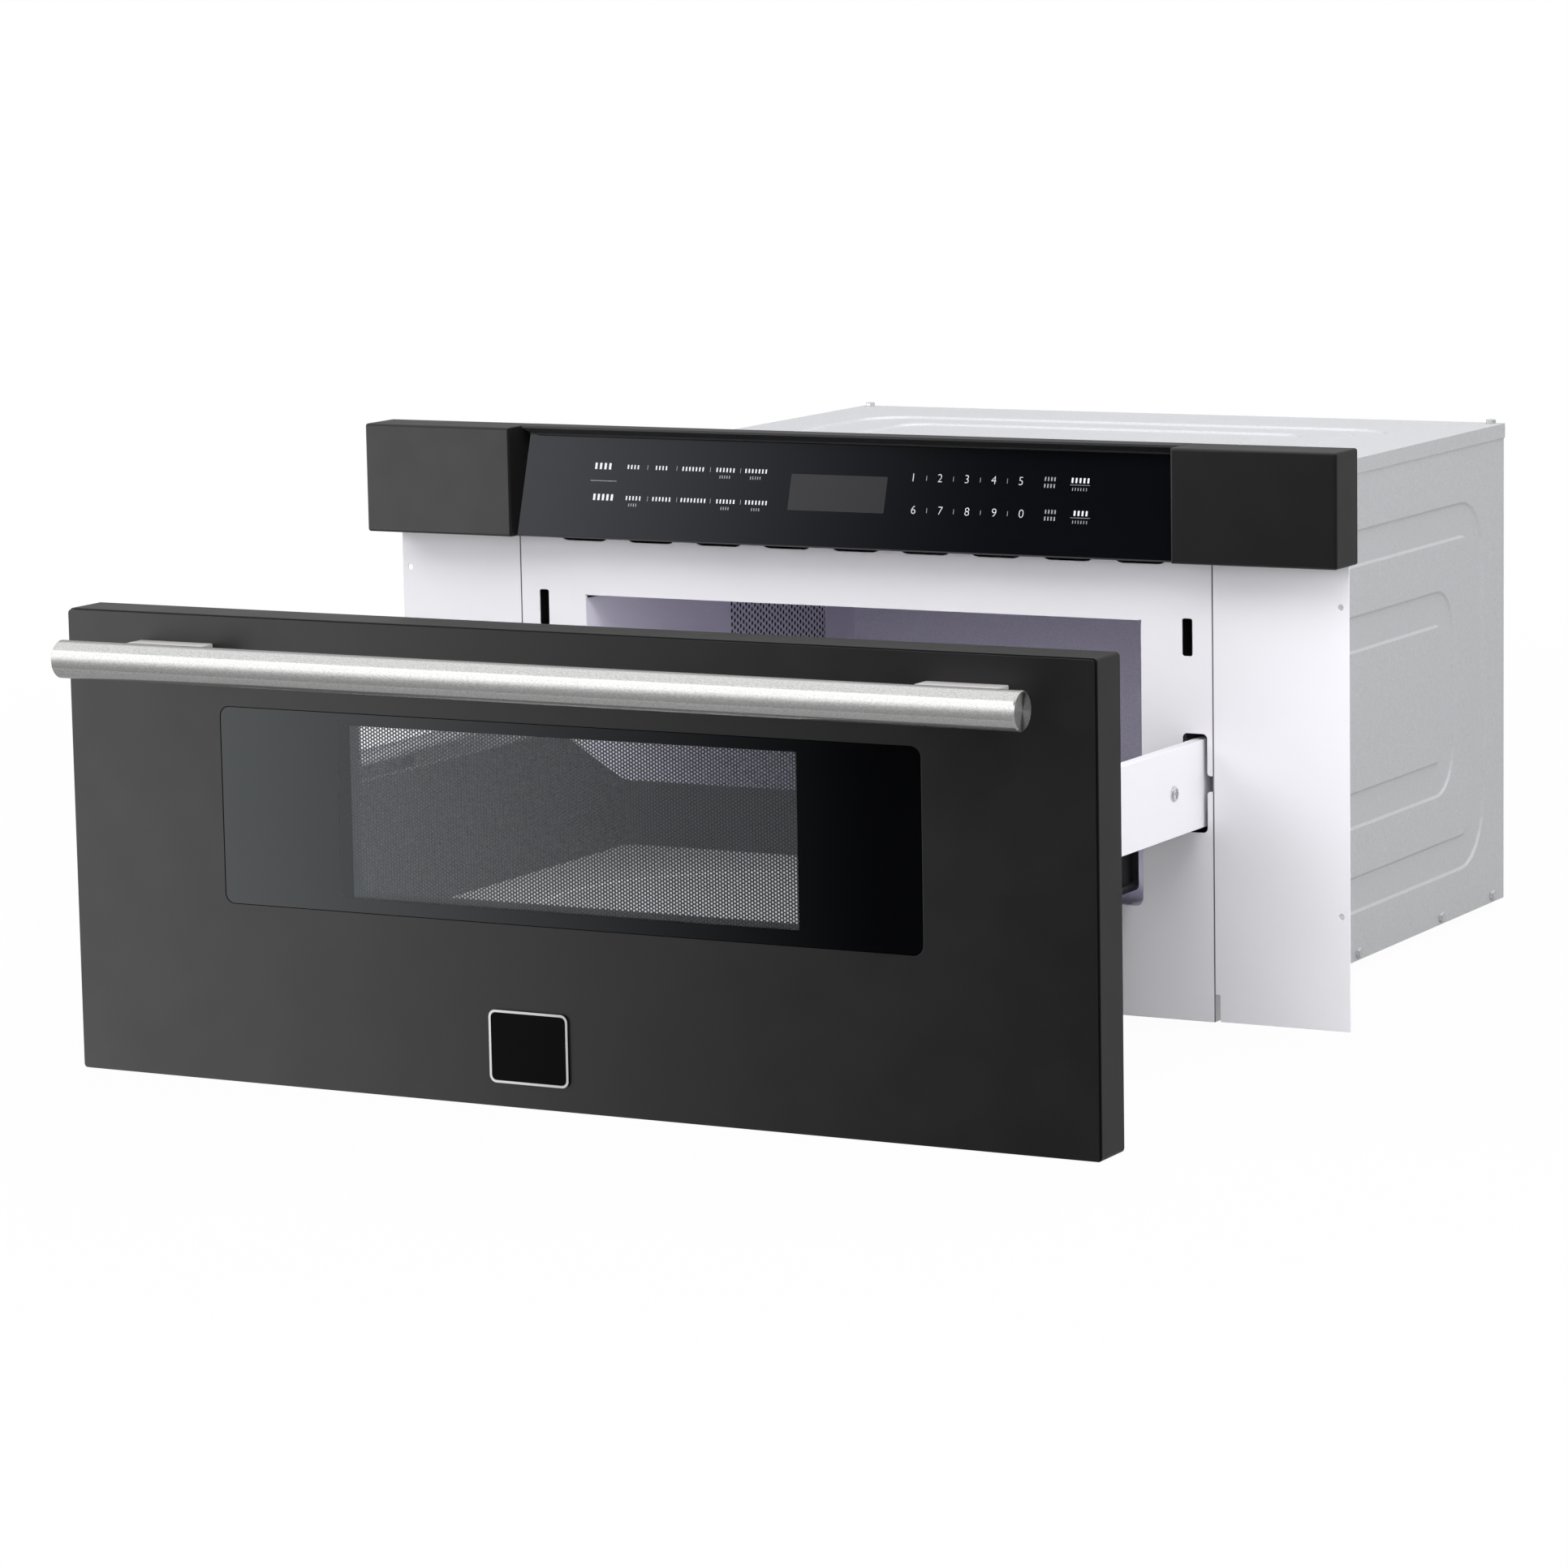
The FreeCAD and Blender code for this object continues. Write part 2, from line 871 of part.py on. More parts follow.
def filler_strip():
    z_range = (strip_bottom, strip_top)
    flange_end = frame_back + strip_flange
    plate = block((side_outer, strip_outer), (face, frame_back), z_range)
    flange = block((side_outer, side_outer + face_sheet), (face, flange_end), z_range)
    strip = joined([plate, flange])
    notch_top = strip_bottom + strip_notch_height
    strip = strip.cut(block((side_outer - beyond, side_outer + strip_notch_width),
                            through((face, flange_end)), (strip_bottom - beyond, notch_top)))
    start, end = through((face, frame_back))
    for height in (fixing_low, fixing_low + fixing_pitch):
        strip = strip.cut(rod((strip_outer - fixing_edge, start, height), (0, 1, 0),
                              fixing_hole / 2, end - start))
    return strip


def cabinet_screws():
    side_rows = [back - side_screw_rear - index * side_screw_pitch
                 for index in range(side_screw_count)]
    side_rows.append(back - corner_screw_rear)
    heads = []
    for side in (-1, 1):
        for y in side_rows:
            heads.append(hex_head((side * side_outer, y, side_screw_height), (side, 0, 0)))
        x = side * (cabinet_half - top_screw_side)
        for y in (back - top_screw_rear, face + top_screw_front):
            heads.append(hex_head((x, y, cabinet_height), (0, 0, 1)))
        x = side * (cabinet_half - rear_screw_side)
        for z in (rear_screw_low, cabinet_height - rear_screw_drop):
            heads.append(hex_head((x, rear_outer, z), (0, 1, 0)))
    return group(heads)


def bushing_x():
    return cabinet_half - bushing_side


def cord_bushing():
    x = bushing_x()
    z = bushing_height
    start = rear_inner - bushing_lip
    sleeve_start = rear_outer + bushing_lip
    body = rod((x, start, z), (0, 1, 0), bushing_radius, rear_outer - start)
    lip = prism((x, rear_outer, z), (0, 1, 0), bushing_radius + bushing_lip, bushing_lip)
    sleeve = prism((x, sleeve_start, z), (0, 1, 0), bushing_bore + bushing_wall, bushing_length,
                   small_round_sides)
    bore = rod((x, start - beyond, z), (0, 1, 0), bushing_bore,
               sleeve_start + bushing_length + 2 * beyond - start)
    return joined([body, lip, sleeve]).cut(bore)


# --- cavity ---
def cavity_skin(grow, back_at, front_at):
    return round_slab(grown((-cavity_half, cavity_half), grow),
                      (mouth_bottom - grow, mouth_top + grow), mouth_corner + grow,
                      front_at, back_at, "xz")


def recess_box(grow, bottom, top):
    return block(centred(recess_width + 2 * grow), centred(recess_length + 2 * grow, recess_middle),
                 (bottom, top))


def feed_opening(low, high):
    return block(centred(feed_width), centred(feed_length, recess_middle), (low, high))


def lamp_slots(x_range):
    slots = []
    for index in range(lamp_slot_count):
        y = lamp_y + (index - (lamp_slot_count - 1) / 2) * lamp_slot_pitch
        slots.append(block(x_range, centred(lamp_slot_width, y),
                           centred(lamp_slot_height, lamp_z)))
    return group(slots)


def cavity_shell():
    outer = cavity_skin(cavity_sheet, cavity_back + cavity_sheet, frame_back)
    flange = cavity_skin(cavity_flange, frame_back + cavity_sheet, frame_back)
    recess = recess_box(cavity_sheet, mouth_top, recess_roof)
    shell = joined([outer, flange, recess])
    shell = shell.cut(cavity_skin(0, cavity_back, frame_back - beyond))
    shell = shell.cut(block((-cavity_half, cavity_half),
                            (frame_back - beyond, frame_back + square_top_depth),
                            (mouth_top - mouth_corner, mouth_top)))
    shell = shell.cut(recess_box(0, mouth_top - beyond, recess_roof - cavity_sheet))
    shell = shell.cut(feed_opening(mouth_top, recess_roof + beyond))
    shell = shell.cut(screen_box(-screen_lap, through((-cavity_outside, -cavity_half))))
    return shell.cut(lamp_slots(through((cavity_half, cavity_outside))))


def screen_box(grow, x_range):
    rear = cavity_back - screen_rear
    return block(x_range, grown((rear - screen_length, rear), grow),
                 grown((screen_top - screen_height, screen_top), grow))


def vent_screen():
    return screen_box(0, (-cavity_outside - screen_sheet, -cavity_outside))


def stirrer_cover():
    low = mouth_top + cover_inset
    top = low + cover_plate
    plate = stepped_slab(centred(recess_width), centred(recess_length, recess_middle),
                         cover_corner, low, top, "xy")
    boss = prism((0, recess_middle, top), (0, 0, 1), cover_boss_radius, cover_boss_height)
    return joined([plate, boss])


# --- microwave feed ---
def waveguide():
    front = recess_middle - guide_front_margin
    outer = block(centred(guide_width), (front, guide_rear), (recess_roof, guide_top))
    inner = block(centred(guide_width - 2 * guide_sheet),
                  (front + guide_sheet, guide_rear - guide_sheet),
                  (recess_roof + guide_sheet, guide_top - guide_sheet))
    flange = block(centred(guide_width + 2 * guide_flange),
                   (front - guide_flange, recess_middle + recess_length / 2 + cavity_sheet),
                   (recess_roof, recess_roof + guide_sheet))
    duct = joined([outer, flange]).cut(inner)
    low, high = through((recess_roof, recess_roof + guide_sheet))
    duct = duct.cut(feed_opening(low, high))
    duct = duct.cut(rod((0, tube_middle, low), (0, 0, 1), antenna_radius + antenna_gap,
                        high - low))
    low, high = through((guide_top - guide_sheet, guide_top))
    return duct.cut(rod((0, recess_middle, low), (0, 0, 1),
                        stirrer_shaft_radius + pass_clearance, high - low))


def magnetron():
    top = recess_roof
    low = top - tube_height
    width = centred(tube_width)
    depth = centred(tube_depth, tube_middle)
    pieces = [
        block(width, depth, (top - tube_plate, top)),
        block(width, depth, (low, low + tube_plate)),
        prism((0, tube_middle, low), (0, 0, 1), anode_radius, tube_height, small_round_sides),
        prism((0, tube_middle, top), (0, 0, 1), antenna_radius, antenna_height,
              small_round_sides),
        block(centred(filter_width), centred(filter_depth, tube_middle),
              (low - filter_height, low)),
    ]
    for x in (width[0], width[1] - tube_plate):
        for y in (depth[0], depth[1] - yoke_width):
            pieces.append(block((x, x + tube_plate), (y, y + yoke_width), (low, top)))
    for index in range(fin_count):
        z = low + tube_height * (index + 1) / (fin_count + 1)
        pieces.append(block(width, centred(fin_depth, tube_middle), (z, z + fin_sheet)))
    return joined(pieces)


def stirrer_motor():
    low = guide_top
    body = prism((0, recess_middle, low), (0, 0, 1), stirrer_motor_radius,
                 stirrer_motor_height)
    ears = stepped_slab(centred(2 * (stirrer_motor_radius + stirrer_ear_reach)),
                        centred(stirrer_ear_width, recess_middle), stirrer_ear_width / 2 - seam,
                        low, low + stirrer_ear_sheet, "xy")
    bore = rod((0, recess_middle, low - beyond), (0, 0, 1),
               stirrer_shaft_radius + shaft_clearance,
               stirrer_motor_height - motor_cap + beyond)
    return joined([body, ears]).cut(bore)


def stirrer_fan():
    low = mouth_top + cover_inset + cover_plate + cover_boss_height + run_gap
    shaft_top = guide_top + stirrer_motor_height - stirrer_shaft_end
    shaft = rod((0, recess_middle, low), (0, 0, 1), stirrer_shaft_radius, shaft_top - low)
    hub = prism((0, recess_middle, low), (0, 0, 1), stirrer_hub_radius, stirrer_hub_height)
    root = stirrer_hub_radius / 2
    under = [(root, stirrer_root), (stirrer_bend, stirrer_root), (stirrer_radius, stirrer_lift)]
    over = [(u, v + stirrer_sheet) for u, v in reversed(under)]
    profile = [(u, v + low) for u, v in under + over]
    half = stirrer_blade_width / 2
    pieces = [shaft, hub]
    for index in range(stirrer_blades):
        blade = slab(profile, -half, half, "xz")
        blade.rotate(Vector(0, 0, 0), Vector(0, 0, 1), 360.0 * index / stirrer_blades)
        pieces.append(blade.translated(Vector(0, recess_middle, 0)))
    return joined(pieces)


# --- cooling ---
def fan_shroud():
    y_range = (cavity_back + cavity_sheet, rear_inner)
    z_range = centred(shroud_height, fan_z)
    plate = block((fan_x - shroud_sheet, fan_x), y_range, z_range)
    hole_radius = fan_radius + fan_tip_gap
    ring = prism((fan_x, rear_middle, fan_z), (-1, 0, 0), hole_radius + shroud_sheet,
                 shroud_ring)
    pieces = [plate, ring]
    for y in (y_range[0], y_range[1] - shroud_sheet):
        pieces.append(block((fan_x - shroud_lip, fan_x), (y, y + shroud_sheet), z_range))
    hole = prism((fan_x + beyond, rear_middle, fan_z), (-1, 0, 0), hole_radius,
                 shroud_ring + 2 * beyond)
    return joined(pieces).cut(hole)


def blade_section(height, sweep):
    half = fan_blade_sheet / 2
    run = fan_blade_depth / 2
    across = run * math.tan(math.radians(sweep))
    points = [
        (-run, -across - half),
        (-run, -across + half),
        (0, half + fan_blade_camber),
        (run, across + half),
        (run, across - half),
        (0, -half + fan_blade_camber),
    ]
    return outline(points, height, "xy")


def fan_blade():
    root = blade_section(fan_hub_radius - fan_blade_root, fan_root_sweep)
    reach = fan_blade_depth / 2 * math.tan(math.radians(fan_tip_sweep)) + fan_blade_sheet / 2
    tip = blade_section(math.sqrt(fan_radius ** 2 - reach ** 2), fan_tip_sweep)
    return tapered(root, tip)


def cooling_fan_wheel():
    x = fan_x - shroud_ring / 2
    pieces = [prism((-fan_blade_depth / 2, 0, 0), (1, 0, 0), fan_hub_radius, fan_blade_depth)]
    for index in range(fan_blades):
        blade = fan_blade()
        blade.rotate(Vector(0, 0, 0), Vector(1, 0, 0), 360.0 * index / fan_blades)
        pieces.append(blade)
    shaft_end = fan_x + fan_motor_gap + fan_motor_depth - fan_motor_cap - x
    pieces.append(rod((0, 0, 0), (1, 0, 0), fan_shaft_radius, shaft_end))
    return joined(pieces).translated(Vector(x, rear_middle, fan_z))


def fan_motor_legs(core_start):
    reach = fan_radius + fan_tip_gap + shroud_sheet + fan_leg_sheet
    y_range = centred(fan_leg_width, rear_middle)
    legs = []
    for side in (-1, 1):
        stand_z = fan_z + side * reach
        inner_z = fan_z + side * (fan_motor_height / 2 - fan_leg_lap)
        outer_z = fan_z + side * (reach + fan_leg_width / 2)
        legs.append(block((core_start, core_start + fan_leg_sheet), y_range,
                          sorted((inner_z, outer_z))))
        legs.append(block((fan_x, core_start + fan_leg_sheet), y_range,
                          centred(fan_leg_sheet, stand_z)))
    return legs


def fan_motor():
    start = fan_x + fan_motor_gap
    core_start = start + fan_motor_cap
    core = stepped_slab(centred(fan_motor_width, rear_middle), centred(fan_motor_height, fan_z),
                        fan_motor_corner, core_start, start + fan_motor_depth - fan_motor_cap,
                        "yz")
    cap = prism((start, rear_middle, fan_z), (1, 0, 0), fan_motor_cap_radius, fan_motor_depth)
    bore = rod((start - beyond, rear_middle, fan_z), (1, 0, 0),
               fan_shaft_radius + shaft_clearance, fan_motor_depth - motor_cap + beyond)
    return joined([core, cap] + fan_motor_legs(core_start)).cut(bore)


def duct_section(x, y_range, z_range):
    corners = [(y_range[0], z_range[0]), (y_range[1], z_range[0]),
               (y_range[1], z_range[1]), (y_range[0], z_range[1])]
    return outline(corners, x, "yz")


def duct_solid(wall):
    screen_outside = -cavity_outside - screen_sheet
    open_end = beyond if wall else 0
    y_front = cavity_back - screen_rear - screen_length - duct_front_margin
    y_turn = cavity_back + cavity_sheet + duct_wall
    y_rear = cavity_back + cavity_sheet + duct_rear_depth
    side_z = grown(centred(duct_height, screen_top - screen_height / 2), -wall)
    side_leg = block((screen_outside - duct_side_depth + wall, screen_outside + open_end),
                     grown((y_front, y_rear), -wall), side_z)
    entry = duct_section(-tube_width / 2 - duct_gap + open_end,
                         grown(centred(duct_entry_depth, tube_middle), -wall),
                         grown(centred(duct_entry_height, recess_roof - tube_height / 2), -wall))
    turn = duct_section(screen_outside - duct_turn, grown((y_turn, y_rear), -wall), side_z)
    return side_leg.fuse(tapered(entry, turn))


def air_duct():
    outer = duct_solid(0)
    return outer.cut(duct_solid(duct_wall)).removeSplitter()


# --- power parts ---
def hv_transformer():
    low = cabinet_sheet
    core = block(centred(core_width, core_x), centred(core_depth, rear_middle),
                 (low, low + core_height))
    foot = block(centred(core_width + 2 * core_foot, core_x),
                 centred(core_foot_depth, rear_middle), (low, low + core_foot_sheet))
    coils = stepped_slab(centred(coil_width, core_x),
                         centred(core_depth + 2 * coil_overhang, rear_middle), coil_corner,
                         low + (core_height - coil_height) / 2,
                         low + (core_height + coil_height) / 2, "xy")
    return joined([core, foot, coils])


def hv_capacitor():
    low = cabinet_sheet
    top = low + capacitor_height
    can = stepped_slab(centred(capacitor_width, capacitor_x),
                       centred(capacitor_depth, rear_middle), capacitor_corner, low, top, "xy")
    strap = block(centred(capacitor_width + 2 * strap_reach, capacitor_x),
                  centred(strap_width, rear_middle), (low, low + strap_sheet))
    pieces = [can, strap]
    for x in centred(terminal_pitch, capacitor_x):
        pieces.append(block(centred(terminal_sheet, x), centred(terminal_width, rear_middle),
                            (top, top + terminal_length)))
    return joined(pieces)


def power_board():
    low = cabinet_sheet
    high = low + board_post
    top = high + board_sheet
    x_range = centred(board_width, board_x)
    y_range = centred(board_depth, rear_middle)
    pieces = [block(x_range, y_range, (high, top))]
    for x in grown(x_range, -board_post_inset):
        for y in grown(y_range, -board_post_inset):
            pieces.append(block(centred(board_post_width, x), centred(board_post_width, y),
                                (low, high)))
    row = rear_middle - board_row_offset
    x = x_range[0] + coil_block_width
    pieces.append(block(centred(coil_block_width, x), centred(coil_block_depth, row),
                        (top, top + coil_block_height)))
    for index in (1, 2):
        x = board_x - relay_pitch / 2 + index * relay_pitch
        pieces.append(block(centred(relay_width, x), centred(relay_depth, row),
                            (top, top + relay_height)))
        pieces.append(prism((x, rear_middle + board_row_offset, top), (0, 0, 1), can_radius,
                            can_height, small_round_sides))
    return joined(pieces)


def oven_lamp():
    start = cavity_outside
    bridge_start = start + lamp_collar_length
    bulb_start = bridge_start + lamp_tray_sheet
    socket_start = bulb_start + lamp_length - lamp_socket_lap
    slot_span = (lamp_slot_count - 1) * lamp_slot_pitch + lamp_slot_width
    throat_y = grown(centred(slot_span, lamp_y), lamp_collar_margin)
    throat_z = grown(centred(lamp_slot_height, lamp_z), lamp_collar_margin)
    collar_y = grown(throat_y, lamp_collar_wall)
    collar_z = grown(throat_z, lamp_collar_wall)
    tray = block((start, start + lamp_tray_sheet), centred(lamp_tray_width, lamp_y),
                 centred(lamp_tray_height, lamp_z))
    collar = block((start, bridge_start), collar_y, collar_z)
    throat = block(through((start, bridge_start)), throat_y, throat_z)
    bridge = block((bridge_start, bulb_start), centred(lamp_bridge, lamp_y), collar_z)
    bulb = rod((bulb_start, lamp_y, lamp_z), (1, 0, 0), lamp_radius, lamp_length)
    socket = rod((socket_start, lamp_y, lamp_z), (1, 0, 0), lamp_socket_radius,
                 lamp_socket_length)
    return joined([joined([tray, collar]).cut(throat), bridge, bulb, socket])


# --- control panel ---
def middle_profile():
    top = panel_top
    return [
        (face, panel_bottom),
        (face - glass_low, panel_bottom),
        (face - glass_high, top - lip_drop),
        (face - lip_reach, top - lip_edge),
        (face - lip_reach, top),
        (face, top),
    ]


def glass_profile(depth, thickness, low_gap, high_gap):
    along = (math.sin(panel_lean), math.cos(panel_lean))
    inward = (math.cos(panel_lean), -math.sin(panel_lean))
    length = (panel_height - lip_drop) / math.cos(panel_lean)
    corners = []
    for step, inset in ((low_gap, depth), (length - high_gap, depth),
                        (length - high_gap, depth + thickness), (low_gap, depth + thickness)):
        y = face - glass_low + along[0] * step + inward[0] * inset
        z = panel_bottom + along[1] * step + inward[1] * inset
        corners.append((y, z))
    return corners


def control_glass():
    half = panel_half - panel_gap
    return slab(glass_profile(0, panel_glass, glass_rebate, glass_rebate), -half, half, "yz")


def housing_pocket(half):
    back_y = face - panel_back_sheet
    floor_z = panel_bottom + housing_wall
    deep = glass_low - panel_back_sheet - panel_glass / math.cos(panel_lean)
    profile = [(back_y, floor_z), (back_y - deep, floor_z),
               (back_y, floor_z + deep / math.tan(panel_lean))]
    return slab(profile, housing_wall - half, half - housing_wall, "yz")


def control_housing():
    half = panel_half - panel_gap / 2
    middle = slab(middle_profile(), -half, half, "yz")
    rebate = slab(glass_profile(-beyond, panel_glass + beyond, glass_rebate - seam,
                                glass_rebate - seam), -half - beyond, half + beyond, "yz")
    board_half = board_long / 2 + board_space
    window = slab(glass_profile(0, panel_glass + 2 * board_space, housing_ledge,
                                board_high - beyond), -board_half, board_half, "yz")
    body = middle.cut(rebate).cut(housing_pocket(half)).cut(window.common(middle))
    plate_half = overall_half - cap_wall - panel_gap
    plate = block((-plate_half, plate_half), (face - panel_back_sheet, face),
                  grown((panel_bottom, panel_top), -cap_wall - panel_gap))
    return joined([body, plate])


def end_cap():
    front = face - panel_depth
    z_range = (panel_bottom, panel_top)
    cap = block((panel_half, overall_half), (front, face), z_range)
    front_edges = []
    for edge in cap.Edges:
        box = edge.BoundBox
        at_front = box.YMax < front + seam
        at_end = box.XMin > overall_half - seam and box.YLength > panel_depth - seam
        if at_front or at_end:
            front_edges.append(edge)
    cap = cap.makeFillet(cap_edge, front_edges)
    inner_z = grown(z_range, -cap_wall)
    hollow = block((panel_half + cap_wall, overall_half - cap_wall),
                   (front + cap_wall, face + beyond), inner_z)
    passage = block((panel_half - beyond, panel_half + cap_wall + beyond),
                    (face - panel_back_sheet - panel_gap, face + beyond), inner_z)
    return cap.cut(hollow).cut(passage)


def control_board():
    display = slab(glass_profile(panel_glass, board_space, display_low, display_high),
                   display_x - display_width / 2, display_x + display_width / 2, "yz")
    plate = slab(glass_profile(panel_glass + board_space, board_sheet, board_low, board_high),
                 -board_long / 2, board_long / 2, "yz")
    pieces = [plate, display]
    clear = (display_width + key_contact_width) / 2
    for index in range(key_contact_count):
        x = (index - (key_contact_count - 1) / 2) * key_contact_pitch
        if abs(x - display_x) > clear:
            profile = glass_profile(panel_glass, board_space, key_contact_low, key_contact_high)
            pieces.append(slab(profile, x - key_contact_width / 2, x + key_contact_width / 2,
                               "yz"))
    return joined(pieces)


# --- door ---
def door_skin():
    half = overall_half - skin_inset
    skin = round_slab((-half, half), grown((door_bottom, door_top), -skin_inset), skin_corner,
                      door_front, skin_back, "xz")
    window = round_slab((-window_half, window_half), window_range, window_corner,
                        door_front - beyond, skin_back + beyond, "xz")
    return skin.cut(window)


def door_slab(grow, corner, start, end):
    return round_slab(grown((-overall_half, overall_half), grow),
                      grown((door_bottom, door_top), grow), corner, start, end, "xz")


def window_slab(grow, corner, start, end):
    return round_slab(grown((-window_half, window_half), grow), grown(window_range, grow),
                      corner, start, end, "xz")


def choke_slab(grow, corner, start, end):
    return stepped_slab(grown((-choke_half, choke_half), grow), grown(choke_range, grow),
                        corner, start, end, "xz")


def inner_slab(ranges, grow, start, end):
    return stepped_slab(grown(ranges[0], grow), grown(ranges[1], grow), inner_corner, start, end,
                        "xz")


def door_frame():
    door_range = ((-overall_half, overall_half), (door_bottom, door_top))
    window_reach = ((-window_half, window_half), window_range)
    shell = door_slab(0, door_corner, seam_back, door_back)
    shell = shell.cut(inner_slab(door_range, -frame_wall, seam_back + frame_wall,
                                 door_back - frame_wall))
    step = inner_slab(door_range, -seam_inset, skin_back, seam_back)
    step_hollow = inner_slab(door_range, -step_band, skin_back - beyond, seam_back)
    mouth_band = inner_slab(window_reach, step_band, skin_back, seam_back)
    frame = joined([shell, step.cut(step_hollow.cut(mouth_band))])
    frame = frame.cut(inner_slab(window_reach, mouth_lap, skin_back - beyond,
                                 seam_back + frame_wall + beyond))
    return frame.cut(choke_slab(panel_gap, choke_corner, door_back - frame_wall - beyond,
                                door_back + beyond))


def window_glass():
    return window_slab(-window_gap, window_corner - window_gap, glass_front, glass_back)


def window_screen():
    outer = choke_slab(0, choke_corner, glass_back, choke_back)
    inner = choke_slab(-choke_wall, choke_corner - choke_wall, glass_back + choke_wall,
                       choke_back + beyond)
    clear_front = choke_slab(beyond, choke_corner, glass_back - beyond, seam_back + frame_wall)
    raised = window_slab(-screen_step, screen_step_corner, glass_back - 2 * beyond,
                         seam_back + frame_wall + beyond)
    return joined([outer.cut(inner).cut(clear_front.cut(raised))])


def choke_cover():
    plate = choke_slab(0, choke_corner, choke_back, door_back)
    sight = stepped_slab((sight_side - window_half, window_half - sight_side),
                         (window_range[0] + sight_low, window_range[1] - sight_drop),
                         sight_corner, choke_back - beyond, door_back + beyond, "xz")
    return plate.cut(sight)


def badge_plate():
    low = door_bottom + badge_low
    x_range = centred(badge_width, badge_x)
    z_range = (low, low + badge_height)
    front = door_front - badge_thickness
    plate = round_slab(x_range, z_range, badge_corner, front, door_front, "xz")
    field = stepped_slab(grown(x_range, -badge_rim), grown(z_range, -badge_rim),
                         badge_corner - badge_rim, front - beyond, front + badge_rim_height,
                         "xz")
    return plate.cut(field)


# --- handle ---
def bar_rod():
    return rod((-handle_half, handle_y, handle_z), (1, 0, 0), handle_radius, 2 * handle_half)


def handle_bar():
    bar = bar_rod()
    rims = [edge for edge in bar.Edges if edge.BoundBox.XLength < seam]
    return bar.makeChamfer(handle_chamfer, rims)


def handle_post():
    post = stepped_slab(centred(post_width, post_x), centred(post_height, handle_z), post_edge,
                        handle_y, door_front, "xz")
    return post.cut(bar_rod())


def drawer_screws():
    heads = []
    for index in range(arm_screw_count):
        y = slide_front - open_travel + arm_screw_front + index * arm_screw_pitch
        for side in (-1, 1):
            heads.append(prism((side * arm_outer, y, slide_middle), (side, 0, 0),
                               arm_screw_radius, arm_screw_head, small_round_sides))
    for side in (-1, 1):
        for x in centred(post_screw_pitch, side * post_x):
            heads.append(prism((x, seam_back + frame_wall, handle_z), (0, 1, 0),
                               post_screw_radius, post_screw_head, screw_sides))
    return group(heads)


# --- drawer tub and tray ---
def tub_prism(half, front, rear, radius, low, high):
    body = stepped_slab((-half, half), (front, rear), radius, low, high, "xy")
    square_front = block((-half, half), (front, front + radius + beyond), (low, high))
    return body.fuse(square_front)


def tub_ribs():
    x_range = grown((-tub_half, tub_half), rib_depth)
    low = tub_bottom + rib_lift
    start = door_back + rib_front
    end = tub_rear - tub_corner - rib_rear
    ribs = [block(x_range, (start, end), (low, low + tub_rim_height))]
    for index in range(rib_count):
        y = start + (end - start) * index / (rib_count - 1)
        ribs.append(block(x_range, centred(rib_sheet, y), (low, tub_top)))
    return ribs


def drawer_tub():
    front = door_back
    body = tub_prism(tub_half, front, tub_rear, tub_corner, tub_bottom, tub_top)
    rim = tub_prism(tub_half + tub_rim, front, tub_rear + tub_rim, tub_corner + tub_rim,
                    tub_top - tub_rim_height, tub_top)
    body = joined([body, rim] + tub_ribs())
    open_top = tub_top + beyond
    hollow = tub_prism(tub_half - tub_wall, front + tub_wall, tub_rear - tub_wall,
                       tub_corner - tub_wall, tray_bottom, open_top)
    sight_half = tub_half - tub_wall - tub_side_return
    sight = block((-sight_half, sight_half), through((front, front + tub_wall)),
                  (tray_bottom + tray_thickness + tub_sill, open_top))
    slope_front = tub_rear - tub_slope_start
    slope_rear = tub_rear - tub_slope_end
    past_rear = tub_rear + tub_rim + beyond
    back_top = tub_bottom + tub_back_height
    slope = [(slope_front, tub_top), (slope_rear, back_top), (past_rear, back_top),
             (past_rear, open_top), (slope_front, open_top)]
    past_side = tub_half + tub_rim + beyond
    return joined([body.cut(hollow).cut(sight).cut(slab(slope, -past_side, past_side, "yz"))])


def ceramic_tray():
    front = door_back + tub_wall + tray_gap
    rear = tub_rear - tub_wall - tray_gap
    half = tub_half - tub_wall - tray_gap
    top = tray_bottom + tray_thickness
    plate = tub_prism(half, front, rear, tub_corner - tub_wall, tray_bottom, top)
    middle = (front + rear) / 2
    groove = prism((0, middle, top - ring_depth), (0, 0, 1), ring_radius, ring_depth + beyond,
                   ring_sides)
    core = prism((0, middle, top - ring_depth), (0, 0, 1), ring_radius - ring_width,
                 ring_depth + beyond, ring_sides)
    return joined([plate.cut(groove.cut(core))])


# --- drawer slides: fixed outer, middle and inner members and the painted arm ---
def channel(web, lip, z_range, sheet, front, length):
    inward = 1 if lip > web else -1
    whole = block(sorted((web, lip)), (front, front + length), z_range)
    hollow = block(sorted((web + inward * sheet, lip + inward * beyond)),
                   through((front, front + length)), grown(z_range, -sheet))
    return whole.cut(hollow)


def slide_span(steps):
    return grown(centred(slide_height, slide_middle), -steps * (slide_sheet + slide_gap))


def outer_rail():
    return channel(slide_web, slide_web + outer_lip, slide_span(0), slide_sheet, slide_front,
                   slide_length)


def middle_rail():
    web = slide_web + slide_sheet + slide_gap
    return channel(web, web + middle_lip, slide_span(1), slide_sheet,
                   slide_front - open_travel / 2, slide_length)


def inner_rail():
    lip = slide_web + 2 * (slide_sheet + slide_gap) + inner_lip_gap
    return channel(arm_inner, lip, slide_span(2), slide_sheet, slide_front - open_travel,
                   slide_length)


